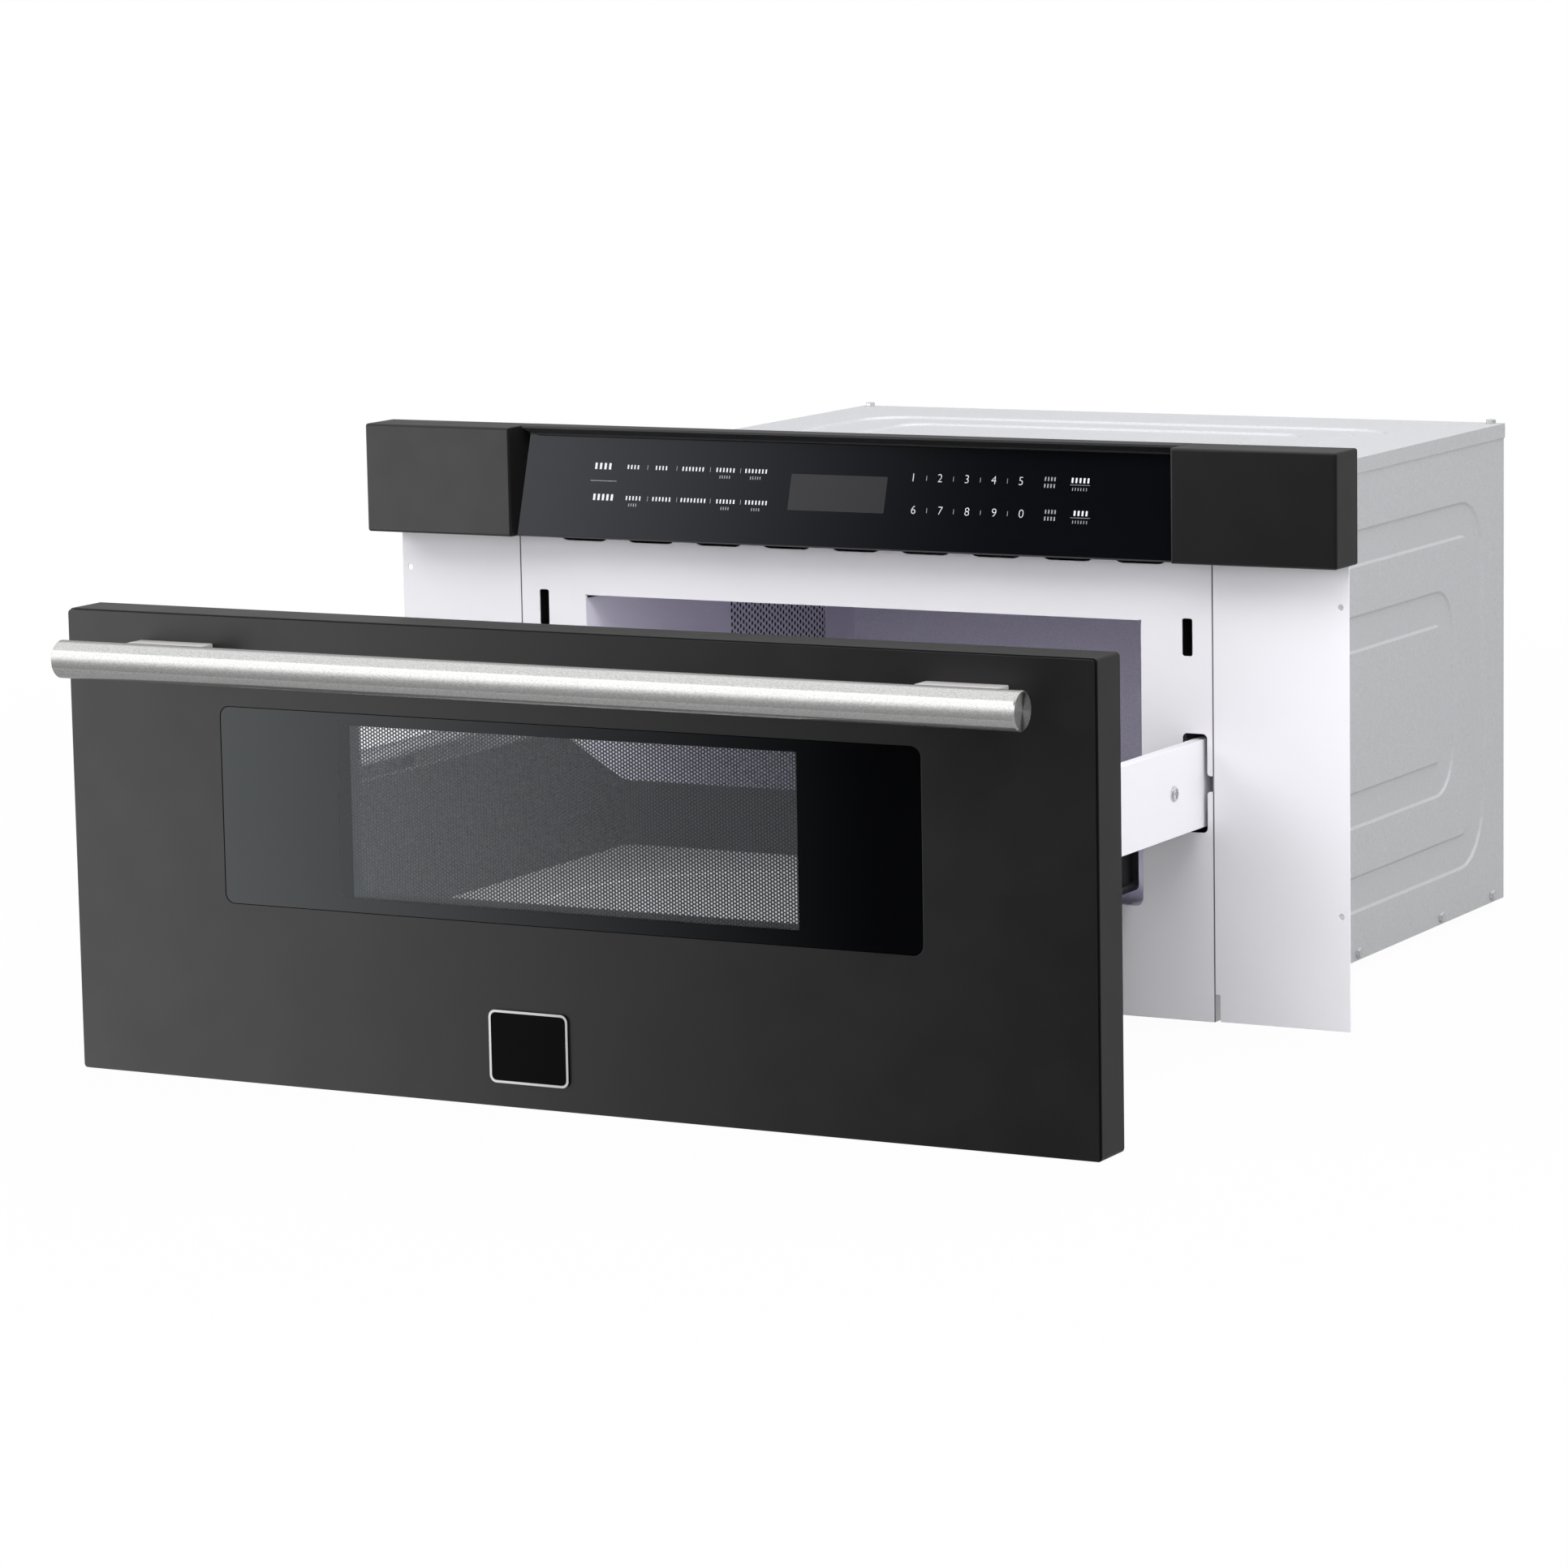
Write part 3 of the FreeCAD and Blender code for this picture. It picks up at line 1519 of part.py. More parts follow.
def rail_arm():
    rear = slide_front - open_travel + slide_length
    z_range = (arm_bottom, arm_top)
    arm = channel(arm_outer, arm_outer - arm_flange, z_range, arm_sheet, door_back,
                  rear - door_back)
    foot_edge = arm_outer + arm_foot_out
    foot = block((foot_edge - arm_foot_width, foot_edge),
                 (door_back, door_back + arm_foot_sheet), z_range)
    return joined([arm, foot])


def rail_bracket():
    top = arm_top + bracket_over
    start = frame_back + bracket_front
    foot_start = start + flange_depth
    end = slide_front + slide_length
    web = (slide_web - bracket_sheet, slide_web)
    plate = block(web, (start, end), (cabinet_sheet, top))
    clear = block(through(web), (start - beyond, foot_start), (0, 3 * cabinet_sheet))
    foot = block((slide_web - bracket_foot, slide_web), (foot_start, end),
                 (cabinet_sheet, cabinet_sheet + bracket_sheet))
    fold = block((web[0], slide_web + bracket_fold), (start, end), (top - bracket_sheet, top))
    return joined([plate.cut(clear), foot, fold])


# --- latches ---
def hook_profile():
    low = (latch_range[0] + latch_range[1] - hook_height) / 2
    high = low + hook_height
    end = door_back + hook_reach
    nose_end = end - hook_nose_slope
    nose_start = nose_end - hook_nose_flat
    return [
        (door_back, low),
        (end, low),
        (end, high),
        (nose_end, high + hook_nose),
        (nose_start, high + hook_nose),
        (nose_start, high - hook_step),
        (door_back, high - hook_step),
    ]


def latch_hook():
    blade = slab(hook_profile(), latch_x - hook_thickness / 2, latch_x + hook_thickness / 2,
                 "yz")
    foot = block(centred(latch_slot_width - 2 * hook_gap, latch_x),
                 (door_back, door_back + hook_foot), grown(latch_range, -hook_gap))
    return joined([blade, foot])


def latch_carrier():
    inner_x = centred(latch_slot_width + 2 * carrier_gap, latch_x)
    inner_z = grown(latch_range, carrier_gap)
    outer_x = grown(inner_x, carrier_wall)
    outer_z = grown(inner_z, carrier_wall)
    end = frame_back + carrier_depth
    box = block(outer_x, (frame_back, end), outer_z)
    ears = block(outer_x, (frame_back, frame_back + carrier_wall), grown(outer_z, carrier_ear))
    hollow = block(inner_x, (frame_back - beyond, end - carrier_wall), inner_z)
    return joined([box, ears]).cut(hollow)


def interlock_switch(side, level):
    inner = latch_x - latch_slot_width / 2 - carrier_gap - carrier_wall
    low = latch_range[0] - carrier_gap + level * (switch_height + switch_gap)
    start = frame_back + switch_setback
    end = start + switch_length
    middle = inner - switch_width / 2
    x_range = (inner - switch_width, inner)
    body = block(x_range, (start, end), (low, low + switch_height))
    button = block(centred(switch_button, middle), (start - switch_plunger, start),
                   centred(switch_button, low + switch_height - switch_button_drop))
    pieces = [body, button]
    for index in range(2):
        z = low + switch_tab_low + index * switch_tab_pitch
        pieces.append(block(centred(terminal_width, middle), (end, end + switch_tab_length),
                            centred(terminal_sheet, z)))
    switch = joined(pieces)
    return switch if side > 0 else mirrored(switch)


# --- rack and pinion ---
def involute_point(base_radius, radius, turn):
    pressure = math.acos(min(1.0, base_radius / radius))
    roll = math.tan(pressure) - pressure
    return (radius * math.cos(turn + roll), radius * math.sin(turn + roll))


def turned(point, angle):
    x, y = point
    return (x * math.cos(angle) - y * math.sin(angle), x * math.sin(angle) + y * math.cos(angle))


def pinion_outline():
    pressure = math.radians(pressure_angle)
    base = pinion_radius * math.cos(pressure)
    tip = pinion_radius + tooth_module
    root = pinion_radius - root_depth
    half_tooth = (tooth_pitch / 2 - 2 * tooth_play) / (2 * pinion_radius)
    start = half_tooth + math.tan(pressure) - pressure
    radii = [base + (tip - base) * step / flank_steps for step in range(flank_steps + 1)]
    flank = [(root * math.cos(start), -root * math.sin(start))]
    flank += [involute_point(base, radius, -start) for radius in radii]
    other_flank = [(x, -y) for x, y in reversed(flank)]
    points = []
    for tooth in range(pinion_teeth):
        middle = math.pi + 2 * math.pi * tooth / pinion_teeth
        points += [turned(point, middle) for point in flank + other_flank]
    return points


def drive_pinion():
    gear_range = centred(pinion_width, rack_middle)
    gear = slab(pinion_outline(), gear_range[0], gear_range[1], "xy")
    shaft_low = cabinet_sheet + pinion_shaft_low
    shaft = rod((0, 0, shaft_low), (0, 0, 1), pinion_shaft_radius,
                gear_range[1] + pinion_shaft_over - shaft_low)
    return joined([gear, shaft]).translated(Vector(pinion_x, pinion_y, 0))


def drive_rack():
    first = pinion_y - open_travel - rack_tail
    last = pinion_y + rack_tail
    slope = math.tan(math.radians(pressure_angle))
    half = tooth_pitch / 4 - tooth_play
    low_half = half + root_depth * slope
    high_half = half - tooth_module * slope
    tip = rack_pitch_x + tooth_module
    points = [(rack_root, last), (rack_root - rack_back, last),
              (rack_root - rack_back, door_back), (rack_root, door_back)]
    count_front = int((pinion_y - first) / tooth_pitch)
    count_rear = int((last - pinion_y) / tooth_pitch)
    for index in range(-count_front, count_rear):
        y = pinion_y + (index + 0.5) * tooth_pitch
        points += [(rack_root, y - low_half), (tip, y - high_half), (tip, y + high_half),
                   (rack_root, y + low_half)]
    bar = slab(points, rack_bottom, rack_bottom + rack_height, "xy")
    foot = block(centred(rack_foot_width), (door_back, door_back + rack_foot_sheet),
                 centred(rack_foot_height, rack_middle))
    return joined([bar, foot])


def rack_guide():
    wall_x = rack_root - rack_back - run_gap
    span = (frame_back + flange_depth + guide_front, back - guide_end_gap)
    shelf_top = rack_bottom - run_gap
    lip_low = rack_bottom + rack_height + run_gap
    return joined([
        block((wall_x - guide_wall, wall_x), span, (cabinet_sheet, lip_low + guide_wall)),
        block((wall_x - seam, rack_root), span, (shelf_top - guide_wall, shelf_top)),
        block((wall_x - seam, wall_x + guide_lip), span, (lip_low, lip_low + guide_wall)),
        block((wall_x - guide_wall - guide_foot, wall_x), span,
              (cabinet_sheet, cabinet_sheet + guide_wall)),
    ])


def drive_gearmotor():
    low = cabinet_sheet
    middle = pinion_y + gearbox_offset
    box_x = rack_pitch_x + tooth_module + gearbox_gap
    can_x = box_x + gearbox_width
    axis_z = low + motor_radius
    box = stepped_slab((box_x, can_x), centred(gearbox_depth, middle), gearbox_corner, low,
                       low + gearbox_height, "xy")
    can = prism((can_x - beyond, middle, axis_z), (1, 0, 0), motor_radius, motor_length)
    nose = prism((can_x - 2 * beyond, middle, axis_z), (1, 0, 0), motor_nose_radius,
                 motor_length + motor_nose_length + beyond, small_round_sides)
    bore = rod((pinion_x, pinion_y, low + gearbox_floor), (0, 0, 1),
               pinion_shaft_radius + shaft_clearance, gearbox_height)
    return joined([box, can, nose]).cut(bore)


# --- write every piece ---
def both_sides(name, shape):
    save(shape, name + "_right")
    save(mirrored(shape), name + "_left")


os.makedirs("parts", exist_ok=True)

save(base_pan(), "base_pan")
both_sides("side_panel", side_panel())
save(rear_panel(), "rear_panel")
save(top_cover(), "top_cover")
save(face_frame(), "face_frame")
both_sides("filler_strip", filler_strip())
save(cabinet_screws(), "cabinet_screws")
save(cord_bushing(), "cord_bushing")

save(cavity_shell(), "cavity_shell")
save(vent_screen(), "vent_screen")
save(stirrer_cover(), "stirrer_cover")
save(waveguide(), "waveguide")
save(magnetron(), "magnetron")
save(stirrer_motor(), "stirrer_motor")
save(stirrer_fan(), "stirrer_fan")

save(fan_shroud(), "fan_shroud")
save(cooling_fan_wheel(), "cooling_fan_wheel")
save(fan_motor(), "fan_motor")
save(air_duct(), "air_duct")
save(hv_transformer(), "hv_transformer")
save(hv_capacitor(), "hv_capacitor")
save(power_board(), "power_board")
save(oven_lamp(), "oven_lamp")

save(control_housing(), "control_housing")
both_sides("end_cap", end_cap())
save(control_glass(), "control_glass")
save(control_board(), "control_board")

save(door_skin(), "door_skin")
save(door_frame(), "door_frame")
save(window_glass(), "window_glass")
save(window_screen(), "window_screen")
save(choke_cover(), "choke_cover")
save(badge_plate(), "badge_plate")
save(handle_bar(), "handle_bar")
both_sides("handle_post", handle_post())
save(drawer_screws(), "drawer_screws")

save(drawer_tub(), "drawer_tub")
save(ceramic_tray(), "ceramic_tray")
both_sides("outer_rail", outer_rail())
both_sides("middle_rail", middle_rail())
both_sides("inner_rail", inner_rail())
both_sides("rail_arm", rail_arm())
both_sides("rail_bracket", rail_bracket())

save(group([latch_hook(), mirrored(latch_hook())]), "latch_hooks")
both_sides("latch_carrier", latch_carrier())
save(group([interlock_switch(1, 0), interlock_switch(1, 1), interlock_switch(-1, 0)]),
     "interlock_switches")

save(drive_pinion(), "drive_pinion")
save(drive_rack(), "drive_rack")
save(rack_guide(), "rack_guide")
save(drive_gearmotor(), "drive_gearmotor")
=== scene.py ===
import math

import bmesh
import bpy
from mathutils import Matrix, Vector


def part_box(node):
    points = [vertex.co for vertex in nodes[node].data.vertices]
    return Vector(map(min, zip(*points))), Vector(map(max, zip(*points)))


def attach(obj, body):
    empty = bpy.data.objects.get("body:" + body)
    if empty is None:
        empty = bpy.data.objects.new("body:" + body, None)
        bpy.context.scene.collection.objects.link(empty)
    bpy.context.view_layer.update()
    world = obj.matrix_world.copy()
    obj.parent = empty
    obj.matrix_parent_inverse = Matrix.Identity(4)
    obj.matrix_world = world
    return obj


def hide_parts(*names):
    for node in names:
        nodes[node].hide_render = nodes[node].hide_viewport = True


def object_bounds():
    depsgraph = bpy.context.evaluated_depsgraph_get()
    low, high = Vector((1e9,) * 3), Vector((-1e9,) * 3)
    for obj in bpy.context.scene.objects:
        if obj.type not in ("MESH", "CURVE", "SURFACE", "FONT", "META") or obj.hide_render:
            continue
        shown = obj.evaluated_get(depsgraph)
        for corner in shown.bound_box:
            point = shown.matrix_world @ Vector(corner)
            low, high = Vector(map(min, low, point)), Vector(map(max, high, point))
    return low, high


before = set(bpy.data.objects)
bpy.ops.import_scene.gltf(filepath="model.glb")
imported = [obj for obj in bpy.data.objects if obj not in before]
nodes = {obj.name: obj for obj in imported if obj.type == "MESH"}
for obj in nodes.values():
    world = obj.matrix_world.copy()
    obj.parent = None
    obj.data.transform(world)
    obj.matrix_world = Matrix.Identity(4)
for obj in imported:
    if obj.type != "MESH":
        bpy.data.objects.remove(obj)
cad_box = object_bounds()


# Studio: a white room with a pale floor, soft lamps overhead and to both sides, and a long
# lens from the front right. Shiny faces see a room that is bright at the left, above and
# below, and dark straight ahead.
camera_place = (1.878425, -3.881908, 0.768966)
camera_azimuth = math.radians(28.253)
camera_elevation = math.radians(8.624)
camera_roll = math.radians(-1.039)
camera_lens = 133.41
camera_reach = 100.0
lamp_aim = Vector((0, -0.2, 0.2))
room_light = 0.50
room_white = 1.0
shine_left = (-0.62, -0.80)
shine_up = (0.42, 0.75)
shine_down = (-0.30, -0.65)
shine_low = 0.33
shine_behind = (-0.1, 0.6)
shine_back = 0.35
shine_dark = 0.04
floor_size = 40.0
floor_grey = (0.5, 0.5, 0.5)
floor_near = 0.9
floor_far = 2.2
floor_glow = 0.97

back_direction = Vector((
    math.sin(camera_azimuth) * math.cos(camera_elevation),
    -math.cos(camera_azimuth) * math.cos(camera_elevation),
    math.sin(camera_elevation),
))
level_right = (-back_direction).cross(Vector((0, 0, 1))).normalized()
level_up = level_right.cross(-back_direction)
camera_right = level_right * math.cos(camera_roll) + level_up * math.sin(camera_roll)
camera_up = level_up * math.cos(camera_roll) - level_right * math.sin(camera_roll)
camera = bpy.data.objects.new("camera", bpy.data.cameras.new("camera"))
bpy.context.scene.collection.objects.link(camera)
turn = Matrix((camera_right, camera_up, back_direction)).transposed().to_4x4()
camera.matrix_world = Matrix.Translation(camera_place) @ turn
camera.data.lens = camera_lens
camera.data.clip_end = camera_reach
bpy.context.scene.camera = camera
bpy.context.scene.view_settings.view_transform = "Standard"


def soft_lamp(name, place, size, watts):
    lamp = bpy.data.objects.new(name, bpy.data.lights.new(name, "AREA"))
    bpy.context.scene.collection.objects.link(lamp)
    lamp.location = place
    lamp.rotation_euler = (lamp_aim - Vector(place)).to_track_quat("-Z", "Y").to_euler()
    lamp.data.shape = "DISK"
    lamp.data.size = size
    lamp.data.energy = watts
    lamp.visible_glossy = False


soft_lamp("lamp_left", (-2.2, -2.6, 2.2), size=2.0, watts=42)
soft_lamp("lamp_front", (1.1, -2.1, 2.4), size=2.4, watts=40)
soft_lamp("lamp_low", (0.7, -4.2, 0.9), size=1.8, watts=50)
soft_lamp("lamp_right", (3.4, -0.9, 1.5), size=1.6, watts=54)
soft_lamp("lamp_over", (0.3, 0.6, 3.0), size=2.4, watts=62)


def link(tree, output, target):
    tree.links.new(output, target)


def place_axes(tree, source="Object"):
    """The place on the piece in metres, along X, Y and Z."""
    place = tree.nodes.new("ShaderNodeTexCoord")
    axes = tree.nodes.new("ShaderNodeSeparateXYZ")
    link(tree, place.outputs[source], axes.inputs[0])
    return axes.outputs


def ramp_of(tree, value, low, high):
    """A number that goes from 0 to 1 as value goes from low to high, smoothly."""
    step = tree.nodes.new("ShaderNodeMapRange")
    step.interpolation_type = "SMOOTHSTEP"
    step.inputs["From Min"].default_value = low
    step.inputs["From Max"].default_value = high
    link(tree, value, step.inputs["Value"])
    return step.outputs["Result"]


def combine(tree, operation, first, second):
    """The sum, product or the like of two values, each a number or the output of a node."""
    node = tree.nodes.new("ShaderNodeMath")
    node.operation = operation
    for socket, value in zip(node.inputs, (first, second)):
        if isinstance(value, (int, float)):
            socket.default_value = value
        else:
            link(tree, value, socket)
    return node.outputs[0]


def seen_by_camera(tree):
    """1 for what the camera sees, straight or through glass, and 0 after any bounce."""
    path = tree.nodes.new("ShaderNodeLightPath")
    bounces = combine(tree, "ADD", path.outputs["Diffuse Depth"], path.outputs["Glossy Depth"])
    straight = combine(tree, "LESS_THAN", bounces, 0.5)
    through = combine(tree, "MULTIPLY", path.outputs["Is Transmission Ray"], straight)
    return combine(tree, "MAXIMUM", path.outputs["Is Camera Ray"], through)


world = bpy.data.worlds.new("room")
bpy.context.scene.world = world
world.use_nodes = True
room = world.node_tree
direction = place_axes(room, "Generated")
left = ramp_of(room, direction["X"], *shine_left)
above = ramp_of(room, direction["Z"], *shine_up)
below = combine(room, "MULTIPLY", ramp_of(room, direction["Z"], *shine_down), shine_low)
behind = combine(room, "MULTIPLY", ramp_of(room, direction["Y"], *shine_behind), shine_back)
shine = combine(room, "MAXIMUM", left, above)
shine = combine(room, "MAXIMUM", shine, below)
shine = combine(room, "MAXIMUM", shine, behind)
shine = combine(room, "ADD", shine, shine_dark)
path = room.nodes.new("ShaderNodeLightPath")
bounced = room.nodes.new("ShaderNodeMix")
bounced.inputs["A"].default_value = room_light
link(room, path.outputs["Is Glossy Ray"], bounced.inputs["Factor"])
link(room, shine, bounced.inputs["B"])
shown = room.nodes.new("ShaderNodeMix")
shown.inputs["B"].default_value = room_white
link(room, seen_by_camera(room), shown.inputs["Factor"])
link(room, bounced.outputs["Result"], shown.inputs["A"])
link(room, shown.outputs["Result"], room.nodes["Background"].inputs["Strength"])
room.nodes["Background"].inputs["Color"].default_value = (1, 1, 1, 1)


def bare_material(name):
    """A new material with nothing but its output."""
    material = bpy.data.materials.new(name)
    material.use_nodes = True
    material.node_tree.nodes.clear()
    material.node_tree.nodes.new("ShaderNodeOutputMaterial")
    return material


def cover_with(tree, shader):
    link(tree, shader.outputs[0], tree.nodes["Material Output"].inputs["Surface"])


bpy.ops.mesh.primitive_plane_add(size=floor_size, location=(0, 0, cad_box[0].z))
floor = bpy.context.object
floor.name = "floor"
floor.visible_glossy = False
floor_white = bare_material("floor_white")
tree = floor_white.node_tree
matt = tree.nodes.new("ShaderNodeBsdfDiffuse")
matt.inputs["Color"].default_value = (*floor_grey, 1)
glow = tree.nodes.new("ShaderNodeEmission")
place = tree.nodes.new("ShaderNodeTexCoord")
distance = tree.nodes.new("ShaderNodeVectorMath")
distance.operation = "LENGTH"
link(tree, place.outputs["Object"], distance.inputs[0])
fade = tree.nodes.new("ShaderNodeMapRange")
fade.inputs["From Min"].default_value = floor_near
fade.inputs["From Max"].default_value = floor_far
fade.inputs["To Min"].default_value = floor_glow
link(tree, distance.outputs["Value"], fade.inputs["Value"])
lit = tree.nodes.new("ShaderNodeMixShader")
link(tree, combine(tree, "MULTIPLY", seen_by_camera(tree), fade.outputs["Result"]), lit.inputs[0])
link(tree, matt.outputs[0], lit.inputs[1])
link(tree, glow.outputs[0], lit.inputs[2])
cover_with(tree, lit)
floor.data.materials.append(floor_white)


# Soft box: a glowing card in front at the left, which fades to black towards the middle and
# reaches further across at its upper end. It only shows in shiny faces.
box_y = -1.6
box_x = (-2.6, 1.2)
box_z = (-0.9, 1.25)
box_strength = 2.3
box_fade = (-0.22, -1.13)
box_upper = (0.40, 0.80)
box_upper_shift = 0.35


def glowing_card(name, x, y, z, material):
    """An upright card that gives light and shows only in shiny faces."""
    mesh = bpy.data.meshes.new(name)
    corners = [(x[0], y, z[0]), (x[0], y, z[1]), (x[1], y, z[1]), (x[1], y, z[0])]
    mesh.from_pydata(corners, [], [(0, 1, 2, 3)])
    mesh.materials.append(material)
    card = bpy.data.objects.new(name, mesh)
    bpy.context.scene.collection.objects.link(card)
    card.visible_camera = False
    card.visible_diffuse = False
    card.visible_transmission = False
    card.visible_shadow = False
    return card


box_light = bare_material("soft_box")
tree = box_light.node_tree
glow = tree.nodes.new("ShaderNodeEmission")
axes = place_axes(tree)
shift = combine(tree, "MULTIPLY", ramp_of(tree, axes["Z"], *box_upper), box_upper_shift)
across = combine(tree, "ADD", axes["X"], shift)
light = combine(tree, "MULTIPLY", ramp_of(tree, across, *box_fade), box_strength)
link(tree, light, glow.inputs["Strength"])
cover_with(tree, glow)
soft_box = glowing_card("soft_box", box_x, box_y, box_z, box_light)


# Cabinet: base pan, side panels, rear panel and top cover, folded from galvanised steel sheet
# with pressed beads, and held by zinc-plated screws. The spangle is fine and matt.
galvanised_grey = (0.56, 0.565, 0.585)
spangle_fineness = 900.0
grain_low = 0.3
grain_high = 0.7
edge_turn = math.radians(32)
flat_turn = math.radians(1)
weld_reach = 0.00002


def shader_of(material):
    return material.node_tree.nodes["Principled BSDF"]


def new_finish(name, colour, roughness, metallic=0.0):
    material = bpy.data.materials.new(name)
    material.use_nodes = True
    shader = shader_of(material)
    shader.inputs["Base Color"].default_value = (*colour, 1)
    shader.inputs["Roughness"].default_value = roughness
    shader.inputs["Metallic"].default_value = metallic
    return material


def noise(material, fineness, stretch=(1, 1, 1), detail=3.0):
    """A grain with that many blotches to the metre, drawn closer along an axis by stretch."""
    tree = material.node_tree
    place = tree.nodes.new("ShaderNodeTexCoord")
    scaled = tree.nodes.new("ShaderNodeMapping")
    scaled.inputs["Scale"].default_value = stretch
    link(tree, place.outputs["Object"], scaled.inputs["Vector"])
    grain = tree.nodes.new("ShaderNodeTexNoise")
    grain.inputs["Scale"].default_value = fineness
    grain.inputs["Detail"].default_value = detail
    link(tree, scaled.outputs["Vector"], grain.inputs["Vector"])
    return grain.outputs["Fac"]


def shade_between(material, value, dark, light, low=grain_low, high=grain_high):
    """Colours the piece between two shades as value goes from low to high."""
    tree = material.node_tree
    mixed = tree.nodes.new("ShaderNodeMix")
    mixed.data_type = "RGBA"
    mixed.inputs["A"].default_value = (*dark, 1)
    mixed.inputs["B"].default_value = (*light, 1)
    link(tree, ramp_of(tree, value, low, high), mixed.inputs["Factor"])
    link(tree, mixed.outputs["Result"], shader_of(material).inputs["Base Color"])


def vary_roughness(material, value, smooth, rough):
    tree = material.node_tree
    spread = tree.nodes.new("ShaderNodeMapRange")
    spread.inputs["From Min"].default_value = grain_low
    spread.inputs["From Max"].default_value = grain_high
    spread.inputs["To Min"].default_value = smooth
    spread.inputs["To Max"].default_value = rough
    link(tree, value, spread.inputs["Value"])
    link(tree, spread.outputs["Result"], shader_of(material).inputs["Roughness"])


def emboss(material, value, depth, strength=1.0):
    """Raises the surface by up to depth metres where value is 1."""
    tree = material.node_tree
    bump = tree.nodes.new("ShaderNodeBump")
    bump.inputs["Distance"].default_value = depth
    bump.inputs["Strength"].default_value = strength
    link(tree, value, bump.inputs["Height"])
    link(tree, bump.outputs["Normal"], shader_of(material).inputs["Normal"])


def tint(colour, by):
    return tuple(channel * by for channel in colour)


def dress(material, *names):
    for name in names:
        node = nodes[name]
        node.data.materials.clear()
        node.data.materials.append(material)


def soften(width, *names):
    """Rounds the edges of these nodes by that width, so that they catch the light."""
    for name in names:
        node = nodes[name]
        weld = node.modifiers.new("weld", "WELD")
        weld.merge_threshold = weld_reach
        flat = node.modifiers.new("flat", "DECIMATE")
        flat.decimate_type = "DISSOLVE"
        flat.angle_limit = flat_turn
        edge = node.modifiers.new("edge", "BEVEL")
        edge.width = width
        edge.segments = 2
        edge.limit_method = "ANGLE"
        edge.angle_limit = edge_turn
        even = node.modifiers.new("even", "WEIGHTED_NORMAL")
        even.keep_sharp = True


galvanised = new_finish("galvanised_sheet", galvanised_grey, roughness=0.5, metallic=0.35)
spangle = noise(galvanised, spangle_fineness, detail=4.0)
shade_between(galvanised, spangle, tint(galvanised_grey, 0.93), tint(galvanised_grey, 1.06))
vary_roughness(galvanised, noise(galvanised, 260.0), smooth=0.42, rough=0.58)
emboss(galvanised, spangle, depth=0.00003, strength=0.35)
cabinet_sheets = ("base_pan", "side_panel_left", "side_panel_right", "rear_panel", "top_cover")
dress(galvanised, *cabinet_sheets)
soften(0.0003, *cabinet_sheets)

zinc = new_finish("zinc_screws", (0.70, 0.71, 0.72), roughness=0.28, metallic=0.7)
vary_roughness(zinc, noise(zinc, 1500.0), smooth=0.2, rough=0.36)
dress(zinc, "cabinet_screws")
soften(0.0004, "cabinet_screws")


# Face frame and filler strips: steel sheet in white powder coat with a satin, faintly uneven
# skin. The strips are screwed on at both sides and cover the cut-out's edges. The fine dark
# line between them and the frame is painted shadow standing in for the shade in the seam's gap.
# The drawer's rail arms have the same coat.
powder_white = (0.80, 0.79, 0.83)
# Painted shadow: the colour of the thin dark band where the frame meets each strip, in place of
# the shade in the seam's gap.
painted_gap_shadow = (0.10, 0.10, 0.115)
gap_shadow_width = 0.0005
frame_low, frame_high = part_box("face_frame")


def between(material, axis, low, high):
    """1 where the place on the piece lies between low and high along that axis."""
    tree = material.node_tree
    axes = place_axes(tree)
    above = combine(tree, "GREATER_THAN", axes[axis], low)
    below = combine(tree, "LESS_THAN", axes[axis], high)
    return combine(tree, "MULTIPLY", above, below)


def shade_where(material, mask, colour):
    """Colours the piece where mask is 1, over what it has already."""
    tree = material.node_tree
    base = shader_of(material).inputs["Base Color"]
    mixed = tree.nodes.new("ShaderNodeMix")
    mixed.data_type = "RGBA"
    link(tree, base.links[0].from_socket, mixed.inputs["A"])
    mixed.inputs["B"].default_value = (*colour, 1)
    link(tree, mask, mixed.inputs["Factor"])
    link(tree, mixed.outputs["Result"], base)


powder = new_finish("white_powder_coat", powder_white, roughness=0.42)
shade_between(powder, noise(powder, 9.0), tint(powder_white, 0.975), tint(powder_white, 1.0))
# Painted shadow: darkens a narrow band on both sides of each seam between the frame and a strip.
for joint in (frame_low.x, frame_high.x):
    gap_shadow_mask = between(powder, "X", joint - gap_shadow_width, joint + gap_shadow_width)
    shade_where(powder, gap_shadow_mask, painted_gap_shadow)
emboss(powder, noise(powder, 1400.0, detail=2.0), depth=0.00002, strength=0.4)
white_sheets = ("face_frame", "filler_strip_left", "filler_strip_right",
                "rail_arm_left", "rail_arm_right")
dress(powder, *white_sheets)
soften(0.0004, *white_sheets)


# Cooking cavity: welded steel box in lavender-grey baked enamel, with a punched vent screen
# behind its left wall and a pale cover under the stirrer.
enamel_grey = (0.86, 0.835, 0.95)
hole_pitch = 0.0053
hole_radius = 0.0019
hole_sides = 12
screen_thickness = 0.0006
mica_dark = (0.54, 0.50, 0.43)
mica_light = (0.64, 0.60, 0.53)

enamel = new_finish("cavity_enamel", enamel_grey, roughness=0.38)
fleck = noise(enamel, 1300.0, detail=4.0)
shade_between(enamel, fleck, tint(enamel_grey, 0.90), tint(enamel_grey, 1.08), low=0.35, high=0.65)
emboss(enamel, fleck, depth=0.00002, strength=0.4)
dress(enamel, "cavity_shell")


